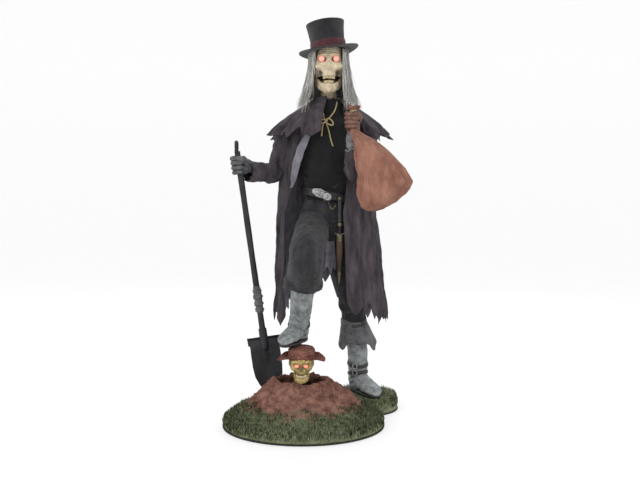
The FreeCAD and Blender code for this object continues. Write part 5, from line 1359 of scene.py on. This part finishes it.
pipe("dagger_strap", [(121, 110, 1004, 8.5, 2.2), (121, 109, 950, 7, 2.0), (121, 109, 884, 8, 2.4)],
     "dagger", belt_leather, 40, 24)
casting("dagger_stud", (121, 106, 998), (10, 6, 10), 0, (0.6, 3, 6), "dagger", old_brass, 30, 40)
print("buckle spans", round(plate.dimensions.x, 3), "m")

# %% [markdown]
# ## Hands
# A hand that grips is four fingers bent round what it holds, a thumb from the other side, and a palm behind.
# Each finger is a tube along an arc round the held piece's axis, a little thicker at its knuckles. The
# right hand is gloved in dark leather round the shovel. The left is bare painted vinyl round the sack's neck.

# %% Gripping hand
def gripping_hand(name, centre, axis, wrist, radius, material, thick=11.0, span=21.0):
    """Fingers along arcs: centre + axis * place + (radius + thick) * (cos t * wrist way + sin t *
    across).
    """
    centre, axis, wrist = (np.asarray(v, float) for v in (centre, axis, wrist))
    axis = unit(axis)
    way = unit(wrist - axis * (wrist @ axis))
    across = np.cross(axis, way)
    pieces = []
    for i, (place, end) in enumerate(zip((1.5, 0.5, -0.5, -1.5), (262, 272, 268, 252))):
        t = np.radians(np.linspace(48, end, 8))[:, None]
        out = radius + thick + np.array([9, 5, 2, 1, 0.5, 0, -0.5, -1.5])[:, None]
        line = centre + axis * (place * span + np.linspace(3, -2, 8)[:,
            None]) + out * (np.cos(t) * way + np.sin(t) * across)
        size = thick * np.array([1.06, 1.1, 0.98, 1.06, 0.94, 0.96, 0.86, 0.55])[:,
            None] * (0.9 if i == 3 else 1.0)
        points, away = tube(np.concatenate([line, size, size], -1), 60, 28, axis)
        points = points + away * (0.5 * waves(points, 9, 70 + i))[..., None]
        pieces.append(closed_piece(f"{name}_finger_{i}", points, "figure", material))
    t = np.radians(np.linspace(-42, -165, 6))[:, None]
    line = centre + axis * np.linspace(4, 34, 6)[:,
                                                 None] + (radius + thick + np.linspace(8, 0, 6)[:,
                                                     None]) * (np.cos(t) * way + np.sin(t) * across)
    size = thick * np.array([1.45, 1.3, 1.12, 1.16, 1.02, 0.6])[:, None]
    points, away = tube(np.concatenate([line, size, size], -1), 50, 28, axis)
    pieces.append(closed_piece(f"{name}_thumb", points, "figure", material))
    middle = centre + way * (radius + 19)
    line = np.array([middle + axis * 40, middle + axis * 24, middle, middle - axis * 26,
                     middle - axis * 41])
    size = np.array([(8, 12), (19, 27), (21, 32), (19, 28), (8, 12)], float)
    points, away = tube(np.concatenate([line, size], -1), 50, 60, way)
    points = points + away * (0.9 * waves(points, 14, 77))[..., None]
    palm = closed_piece(f"{name}_palm", points, "figure", material)
    line = np.array([middle - way * 6, middle + way * 14 + wrist * 0.18, centre + wrist * 1.0,
                     centre + wrist * 1.25])
    size = np.array([(26, 26), (29, 27), (29, 28), (29, 28)], float)
    points, away = tube(np.concatenate([line, size], -1), 40, 50, axis)
    points = points + away * (1.1 * waves(points, 16, 78))[..., None]
    heel = closed_piece(f"{name}_wrist", points, "figure", material)
    return [palm, heel, *pieces]


grip = np.array([-333.0, 45.0, 1148.0])
blade_tip = np.array([-192.0, 53.0, 45 + 0.47 * 145])
shovel_line = unit(grip - blade_tip)
hand_skin = creased("hand_skin", "#4a3026", "#8f6857", 8, 0.6, depth=0.4, stain=18)
right_hand = gripping_hand("right_hand", grip, shovel_line, (34, 52, -4), 14, glove_leather)
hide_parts("hand_right")
fist = np.array([178.0, 20.0, 1345.0])
left_hand = gripping_hand("left_hand", fist, (0, 0, 1), (2, 26, -38), 14, hand_skin, thick=10.0,
                          span=18.0)
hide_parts("hand_left")
made()

# %% [markdown]
# ## The sack
# The sack is coarse burlap gathered into a neck in the fist, and it hangs full and heavy to one side. Its
# folds are deep where it is gathered and fade into a few long creases that run towards the load. Lumps show
# where things press from inside. Above the fist its mouth opens out in a frill, tied with two turns of twine.

# %% Sack
# Height from the fist, half width, half depth, and drift along X and Y, in mm.
sack_sizes = [(64, 27, 22, 2, 0), (50, 21, 18, 1, 0), (38, 12, 12, 1, 0), (0, 11, 11, 0, -4),
              (-32, 12, 12, 0, -8)]
sack_sizes += [(-62, 28, 19, 18, -30), (-104, 55, 39, 58, -54), (-180, 87, 55, 101, -66),
               (-240, 112, 66, 128, -67)]
sack_sizes += [(-275, 119, 68, 138, -66), (-330, 101, 59, 121, -62), (-382, 60, 40, 88, -58),
               (-402, 20, 16, 80, -58)]


def sack_points(rows, columns):
    """Level ovals down the sack, with gathers of 11 folds at the neck and long creases below it."""
    line = curve_through(sack_sizes, rows)
    drop, wide, deep, dx, dy = [line[:, i : i + 1] for i in range(5)]
    turn = np.linspace(0, 2 * np.pi, columns, endpoint=False)[None]
    gathered = np.exp(-(((drop + 20) / 62) ** 2))
    long = smooth_step(-drop, 60, 120) * (1 - smooth_step(-drop, 250, 370))
    folds = 0.17 * gathered * np.cos(11 * turn + 1.4 * np.sin(drop / 30))
    folds = folds + 0.07 * long * np.cos(7 * turn + drop / 70 + np.sin(2 * turn))
    folds = folds + 0.045 * long * np.cos(13 * turn - drop / 50 + 1)
    frill = smooth_step(drop, 36, 60)
    folds = folds + 0.16 * frill * np.cos(6 * turn + 0.6)
    x = dx + wide * (1 + folds) * np.cos(turn)
    y = dy + deep * (1 + folds) * np.sin(turn)
    points = np.stack([x, y, drop + 0 * turn], -1) + fist
    out = unit(np.stack([np.cos(turn) / wide, np.sin(turn) / deep, 0 * (turn + wide)], -1))
    full = smooth_step(-drop, 70, 200)
    lumps = (4.5 * waves(points, 105, 81, 2) + 1.6 * waves(points, 26, 82)) * (0.15 + 0.85 * full)
    points = points + out * lumps[..., None]
    points[..., 2] += 4 * frill * np.sin(5 * turn)
    return points


sack = grid_piece("burlap_sack", sack_points(170, 190), "figure", around=True, closed=True)
give(sack, burlap)
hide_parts("sack")
for i, height in enumerate((46, 51)):
    strap(f"sack_tie_{i}", tuple(fist + (1, 0, height - 4)), 12.5, 12.5, (2, 1), 5.5, sisal_twine, 3.2)


made()

# %% [markdown]
# ## The shovel
# The shaft is black-painted wood with a knotted binding below the knee. Its grip is a loop seen edge-on
# from the front. The blade is thin pressed iron: wide treads at the top, rusted edges that have
# chipped into steps, and a shallow dish, with a socket that holds the shaft.

# %% Shaft, binding and loop


def on_shaft(distance, radius):
    """A station on the shaft, at a distance in mm from the blade's tip."""
    place = blade_tip + shovel_line * distance
    return (*place, radius, radius)


top = float((grip - blade_tip) @ shovel_line) + 62
distances = np.linspace(250, top, 26)
shaft_line = [on_shaft(d, 13.6 + 0.5 * np.sin(d / 37)) for d in distances]
shaft = pipe("shovel_shaft", shaft_line, "figure", black_iron, 300, 32, back=(0.0, 1.0, 0.1))
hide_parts("shovel_handle")
knots = [(372, 15), (384, 21), (398, 17), (412, 22), (428, 17.5), (444, 23), (458, 18), (470, 21),
         (482, 17), (494, 15)]
pipe("shaft_binding", [on_shaft(*k) for k in knots], "figure", glove_leather, 90, 40, ridge=(1.2, 9))
loop = grip + shovel_line * 82
frame_buckle("shovel_loop", tuple(loop), 36, 44, (1, 0, 0), black_iron, wire=7.5)
made()

# %% Blade
def blade_points(rows, columns):
    """The blade as a sheet: half width is a curve of the share of its length, with chipped steps in its edge.

    Its dish is 9 mm deep in the middle, and a ridge runs up from the middle to the socket.
    """
    up = np.linspace(0.004, 1, rows)[:, None]
    side = np.linspace(-1, 1, columns)[None]
    half = np.interp(up, [0, 0.05, 0.14, 0.3, 0.48, 0.7, 0.84, 0.86, 1],
                     [3, 25, 46, 63, 70, 71, 70, 78, 78])
    chips = 2.6 * np.sign(np.sin(up * 44 + 2.6 * np.sign(side))) * smooth_step(up, 0.25, 0.6)
    x = (half - np.abs(chips) * np.abs(side) ** 4) * side
    dish = 9 * (1 - np.abs(side) ** 2) * np.sin(np.pi * np.clip(up * 0.9 + 0.1, 0, 1))
    ridge = 5 * np.exp(-((x / 9) ** 2)) * smooth_step(up, 0.35, 0.9)
    tread = -10 * smooth_step(up, 0.955, 1.0)
    y = dish - ridge + tread + 0.8 * np.sin(x / 11 + up * 9)
    point = x[..., None] * np.cross(BACK, shovel_line) + (up * 262)[..., None] * shovel_line
    return blade_tip + point + y[..., None] * BACK + np.array([0, -3.0, 0])


blade = grid_piece("shovel_pressed_blade", blade_points(90, 80), "figure", outward=(-210, -400, 230))
thicken(give(blade, black_iron), 3.0)
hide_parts("shovel_blade")
socket = [on_shaft(d, r) for d, r in ((196, 8), (204, 15), (222, 18), (250, 19), (290, 18.5), (297, 18),
                                      (298, 15))]
pipe("shovel_socket", socket, "figure", black_iron, 60, 40)
print("shovel is", round(top + 110), "mm long")

# %% [markdown]
# ## The head
# The face is a ghoul's: deep sockets, a heavy brow, a thin hooked nose and hollow cheeks. It is
# sculpted on an
# egg with the same smooth hills as the skull. Below the upper lip the egg is drawn in to make the roof of
# the mouth, so that the chin, which is a second piece on its own hinge, can open and shut.

# %% Face
face_middle = np.array([71.0, 190.0, 1600.0])


def face_points(rows, columns):
    """An egg of 78 by 98 by 120 mm, sculpted, then drawn in below the lip. Also gives which points
    line the mouth, and the pushes.
    """
    points, out = ball((0, 0, 0), (78, 98, 120), rows, columns)
    x, y, z = [points[..., i].copy() for i in range(3)]
    points[..., 0] *= 1 - 0.26 * smooth_step(-z, 0, 70) * smooth_step(-y, -40, 30)
    pushes = both((33, -88, 32, (17, 30, 12.5), -27.0), (30, -94, 51, (23, 26, 7), 9.5),
                  (47, -72, -2, (17, 26, 10), 11.0))
    pushes += both((46, -68, -34, (16, 32, 17), -15.0), (70, -26, 46, (18, 32, 26), -9.0),
                   (32, -90, 14, (13, 22, 4), 3.2))
    pushes += both((15, -100, -24, (4.5, 22, 16), -4.5), (7, -112, -19, (4, 9, 4), -5.0),
                   (9, -100, -10, (5, 14, 7), 7.0))
    pushes += [(0, -98, 26, (7, 22, 26), 9.0), (0, -104, 2, (8, 24, 14), 15.0),
               (0, -110, -12, (7, 26, 8), 9.0)]
    pushes += [(0, -96, -40, (26, 24, 6), 5.0), (0, -96, 60, (4, 20, 13), -4.5)]
    push = hills(points, *pushes)
    brow = np.exp(-((x / 46) ** 2)) * smooth_step(z, 54,
                                                  62) * (1 - smooth_step(z, 84, 96)) * smooth_step(-y,
                                                      20, 60)
    push = push + 1.5 * np.cos(z * 0.62 + 0.6 * np.sin(x / 14)) * brow
    crow = np.exp(-(((np.abs(x) - 58) / 12) ** 2)) * np.exp(-(((z - 20) / 22) ** 2)) * smooth_step(-y,
        20, 50)
    push = push + 1.3 * np.cos(z * 0.7 + np.abs(x) * 0.35) * crow + 1.0 * waves(points + face_middle,
        26, 61)
    points = points + out * push[..., None]
    under = smooth_step(-z, 45, 52) * smooth_step(-y, -6, 26)
    points[..., 1] = points[..., 1] * (1 - under) + under * (-22 + 50 * smooth_step(-z, 52, 64))
    points[..., 2] = points[..., 2] + under * 26 * np.exp(-(((z + 60) / 16) ** 2))
    points[..., 2] = np.maximum(points[..., 2], -112)
    return points + face_middle, (under > 0.45) & (z > -84), push


face_grid, inside, face_push = face_points(230, 220)
face_piece = closed_piece("ghoul_face", face_grid, "head", ghoul_skin, lip_brown)
# Painted shade in the face's hollows, from 1.5 mm deep, full at 11.5 mm.
paint_shade_in_hollows(face_piece, face_push + 1.5, 10.0)
lined = np.concatenate([inside[:-1].ravel(), np.zeros(2 * inside.shape[1], bool)])
face_piece.data.polygons.foreach_set("material_index", lined.astype(np.int32))
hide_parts("face_shell", "back_head_shell")
throat_line = [(71, 223, 1546, 38, 36), (71, 223, 1500, 36, 35), (71, 221, 1462, 38, 38)]
throat_grid, out = tube(throat_line, 60, 70)
throat_grid = throat_grid + out * (1.4 * np.cos(np.linspace(0, 2 * np.pi, 70,
    endpoint=False) * 9))[None, :, None]
closed_piece("ghoul_neck", throat_grid, "head", ghoul_skin)


def chin_points(rows, columns):
    """A chin: an egg of 38 by 39 by 27 mm, pinched in below the lip and dished on top for the
    tongue.
    """
    points, out = ball((0, 0, 0), (38, 39, 27), rows, columns)
    pushes = [(0, -34, -14, (15, 20, 10), 9.0), (0, -39, 0, (22, 18, 5), -6.0),
              (0, -34, 11, (24, 18, 5), 4.0)]
    pushes += both((20, -34, -14, (8, 14, 18), -5.0),
                   (0.0, -44, -18, (3, 12, 7), -1.6)) + [(0, -4, 28, (28, 34, 13), -14.0)]
    push = hills(points, *pushes) + 0.9 * waves(points, 18, 63)
    return points + out * push[..., None] + (71, 138, 1505)


chin_piece = closed_piece("ghoul_chin", chin_points(120, 130), "lower_jaw", ghoul_skin)
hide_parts("jaw")
cheek_line = [(-58, 22, -44, 6, 15), (-56, -2, -60, 7, 19), (-44, -34, -80, 8, 18),
              (-28, -60, -92, 9, 17), (0, -72, -96, 10, 16)]
cheek_line += [(-x, y, z, a, b) for x, y, z, a, b in cheek_line[-2::-1]]
cheek_grid, out = tube([(x + 71, y + 190, z + 1600, a, b) for x, y, z, a, b in cheek_line], 130, 50,
                       back=(0, 0, 1))
cheek_grid = cheek_grid + out * (1.2 * waves(cheek_grid, 18, 64))[..., None]
closed_piece("ghoul_cheeks", cheek_grid, "lower_jaw", ghoul_skin)
teeth("upper_teeth", "head", (71, 148, 0), 31, 41, 1551, 9, 52, (5.9, 7, 12), -1)
teeth("lower_teeth", "lower_jaw", (71, 158, 0), 26, 40, 1529, 8, 48, (5.2, 7, 12), 1)
face_lens = lit_lens("face_lens", "#ff2a18", "#ffc4b4", 0.95)
face_eyes = [eye(f"face_eye_{i}", (71 + side * 33, 109, 1632), 13.5, 9, "head", face_lens) for i,
             side in enumerate((-1, 1))]
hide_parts("eye_lenses")
made()

# %% [markdown]
# ## Top hat and hair
# The hat is felt over a card crown: it widens upwards, its top is dished and its brim droops a little. The
# hair is several hundred thin strands that fall from under the hat, over a thin layer of the same shape.
# It is put on no body of the frame, so it does not turn with the head.

# %% Top hat
def tipped(points):
    """Turns points about the hat's place: -8 degrees about Y, then -2 degrees about X."""
    a, b = np.radians(-8), np.radians(-2)
    x = points[..., 0] * np.cos(a) + points[..., 2] * np.sin(a)
    z = points[..., 2] * np.cos(a) - points[..., 0] * np.sin(a)
    y = points[..., 1] * np.cos(b) - z * np.sin(b)
    z = points[..., 1] * np.sin(b) + z * np.cos(b)
    return np.stack([x, y, z], -1) + (71, 188, 1682)


crown_sizes = [(1, 79, 92), (18, 79.5, 92), (45, 79, 91.5), (80, 83, 94.5), (112, 88, 97.5),
               (123, 90, 98.5), (127, 88, 96)]
crown_sizes += [(127.5, 82, 90), (123, 76, 84), (122, 30, 34)]
line = curve_through(crown_sizes, 90)
turn = np.linspace(0, 2 * np.pi, 180, endpoint=False)[None]
dent = 1 + 0.012 * np.cos(2 * turn + line[:, :1] / 40) + 0.008 * np.cos(5 * turn - line[:, :1] / 30)
crown_grid = np.stack([line[:, 1:2] * dent * np.cos(turn), line[:, 2:3] * dent * np.sin(turn),
                       line[:, :1] + 0 * turn], -1)
hat_crown = closed_piece("top_hat_crown", tipped(crown_grid), "head", hat_felt)
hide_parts("top_hat")
share = np.linspace(0, 1, 24)[:, None]
curl = 5 * share**2 * np.cos(turn) ** 2 - 12 * share**2 * np.sin(turn) ** 2 + 1.2 * np.sin(3 * turn) * share
width, depth = 74 + 64.5 * share, 86 + 64 * share
brim_grid = np.stack([width * np.cos(turn), depth * np.sin(turn), 1.5 + curl], -1)
hat_brim = grid_piece("top_hat_brim", tipped(brim_grid), "head", around=True, outward=(71, 188, 1200))
thicken(give(hat_brim, hat_felt), 4.0)
band_sizes = [(1.5, 80.6, 93.4), (4, 82.4, 95.2), (14, 82.8, 95.4), (34, 82.0, 94.6), (38, 80.9, 93.2)]
line = curve_through(band_sizes, 30)
pleat = 0.7 * np.sin(line[:, :1] * 0.9 + 2 * np.sin(2 * turn))
band_grid = np.stack([(line[:, 1:2] + pleat) * np.cos(turn), (line[:, 2:3] + pleat) * np.sin(turn),
                      line[:, :1] + 0 * turn], -1)
hat_band = give(grid_piece("top_hat_band", tipped(band_grid), "head", around=True,
                           outward=(71, 188, 1690)), grosgrain)
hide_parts("hat_band")
made()

# %% Hair
def hair_finish():
    """Grey synthetic fibre: pale and mid grey along each strand, a soft long highlight."""
    material, tree, shader = finish("grey_fibre_hair", 0.5, Sheen_Weight=0.4, Specular_IOR_Level=0.35)
    place = add(tree, "TexCoord").outputs["Object"]
    long = add(tree, "Mapping", ("Vector", place))
    long.inputs["Scale"].default_value = (1.0, 1.0, 0.06)
    noise = add(tree, "TexNoise", ("Vector", long.outputs[0]), Scale=260.0, Detail=3.0)
    edge = add(tree, "MapRange", ("Value", noise.outputs[0]), From_Min=0.34, From_Max=0.66)
    mix = add(tree, "Mix", (0, edge.outputs[0]), data_type="RGBA")
    mix.inputs[6].default_value = linear("#5c5955")
    mix.inputs[7].default_value = linear("#d6d3cd")
    tree.links.new(mix.outputs[2], shader.inputs["Base Color"])
    return material


fibre_hair = hair_finish()
hair_sizes = [(1690, 84, 98), (1666, 90, 106), (1600, 95, 111), (1500, 113, 110), (1442, 133, 122),
              (1380, 156, 132)]


def hair_strands(name, count, seed):
    """Flat strands, 16 steps of a four-sided section: an oval's point at a turn, drifting out to the ends.

    A strand's half width is 2.1 mm * (1 - 0.85 share^3), and its waves are sines of height with its own phase.
    """
    random = np.random.default_rng(seed)
    side = np.where(np.arange(count) % 2 == 0, 1.0, -1.0)
    place = random.uniform(0, 1, count) ** 1.15
    share = np.linspace(0, 1, 16)[None]
    front = np.where(side < 0, 46.0, 30.0)
    turn = 44 + (front[:, None] - 44) * share**1.5
    turn = side[:, None] * (turn + (180 - turn) * place[:, None])
    ends = 1446 - 46 * random.uniform(0, 1, count) ** 2 + 42 * random.uniform(-1, 1, count)
    starts = 1676 + 6 * random.uniform(-1, 1, count)
    height = starts[:, None] + (ends - starts)[:, None] * share
    wide, deep = at_height(hair_sizes, height)
    away = random.uniform(-6, 4.5, count)[:, None] + 8 * share**2 * random.normal(0, 1, count)[:, None]
    away = away + 3.5 * share * np.sin(height / 27 + 6 * random.uniform(0, 1, count)[:, None])
    bend = np.radians(turn) + 0.06 * np.sin(height / 38 + 6 * random.uniform(0, 1, count)[:,
        None]) * share
    middle = np.stack([71 + (wide + away) * np.sin(bend), 200 - (deep + away) * np.cos(bend), height],
                      -1)
    along = unit(np.gradient(middle, axis=1))
    out = unit(np.stack([np.sin(bend), -np.cos(bend), 0 * bend], -1))
    flat = unit(np.cross(along, out))
    half = (2.1 * random.uniform(0.6, 1.3, count))[:, None, None] * (1 - 0.85 * share[..., None] ** 3)
    corners = [middle + flat * half, middle + out * half * 0.4, middle - flat * half,
               middle - out * half * 0.4]
    points = np.stack(corners, 2)
    index = np.arange(points[..., 0].size).reshape(points.shape[:3])
    turned = np.roll(index, -1, axis=2)
    quads = np.stack([index[:, :-1], turned[:, :-1], turned[:, 1:], index[:, 1:]], -1).reshape(-1, 4)
    caps = np.concatenate([index[:, 0][:, ::-1], index[:, -1]])
    mesh = bpy.data.meshes.new(name)
    mesh.from_pydata((points.reshape(-1, 3) * MM).tolist(), [], quads.tolist() + caps.tolist())
    mesh.polygons.foreach_set("use_smooth", np.ones(len(mesh.polygons), bool))
    work = bmesh.new()
    work.from_mesh(mesh)
    bmesh.ops.recalc_face_normals(work, faces=work.faces)
    work.to_mesh(mesh)
    work.free()
    piece = bpy.data.objects.new(name, mesh)
    bpy.context.collection.objects.link(piece)
    return give(piece, fibre_hair)


HAIR_TOP, STRANDS = 1678, 900
rows, columns = 40, 150
turn = np.linspace(48, 312, columns)[None]
tips = 1506 - ragged(columns, 46, 21, 91)[None]
height = HAIR_TOP + (tips - HAIR_TOP) * np.linspace(0, 1, rows)[:, None]
wide, deep = at_height(hair_sizes, height)
a = np.radians(turn)
ripple = -3 + 2.2 * np.cos(27 * a + height / 60)
layer_grid = np.stack([71 - (wide + ripple) * np.sin(a), 200 - (deep + ripple) * np.cos(a), height], -1)
layer = give(grid_piece("hair_layer", layer_grid, None, outward=(71, 200, 1560)), fibre_hair)
thicken(layer, 2.0)
strands = hair_strands("hair_strands", STRANDS, 90)
for piece in (layer, strands):
    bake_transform(piece)
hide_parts("wig")
print("face", [round(float(v), 3) for v in face_piece.dimensions], "m and", len(strands.data.vertices),
      "hair points")

# %% [markdown]
# ## The parts that stay as they were designed
# The frame, the gears, the motors and the control box are real machined or moulded shapes already, so they
# keep their CAD form and get a finish: steel tube is powder coated, screws are zinc plated, gears are white
# acetal and housings are black plastic.

# %% Finishes for the hardware
hardware = {
    "base_plate": painted_board, "base_pads": foam_rubber, "leg_sockets": powder_coat,
            "base_screws": zinc_plate,
    "control_box": black_abs, "battery_door": black_abs, "speaker": black_abs,
            "battery_cells": zinc_plate,
    "neck_gearmotor": black_abs, "jaw_motor": black_abs, "skull_motor": black_abs,
    "skull_bracket": black_abs, "head_bracket": black_abs,
}
soft_grey = plain("soft_grey_knob", "#7b7d80", "#a2a4a7", 0.45)
button_red = plain("button_red", "#7d1b18", "#a62a24", 0.4)
hardware["mode_switch"] = soft_grey
hardware["demo_button"] = button_red
for node_name, node in frame["nodes"].items():
    if "gear" in node_name or "pinion" in node_name:
        choice = white_acetal
    elif "torso" in node_name:
        choice = black_abs
    else:
        choice = powder_coat
    give(node, hardware.get(node_name, choice))
print(len(frame["nodes"]), "CAD nodes have a finish,", len(hardware), "of them from the list")
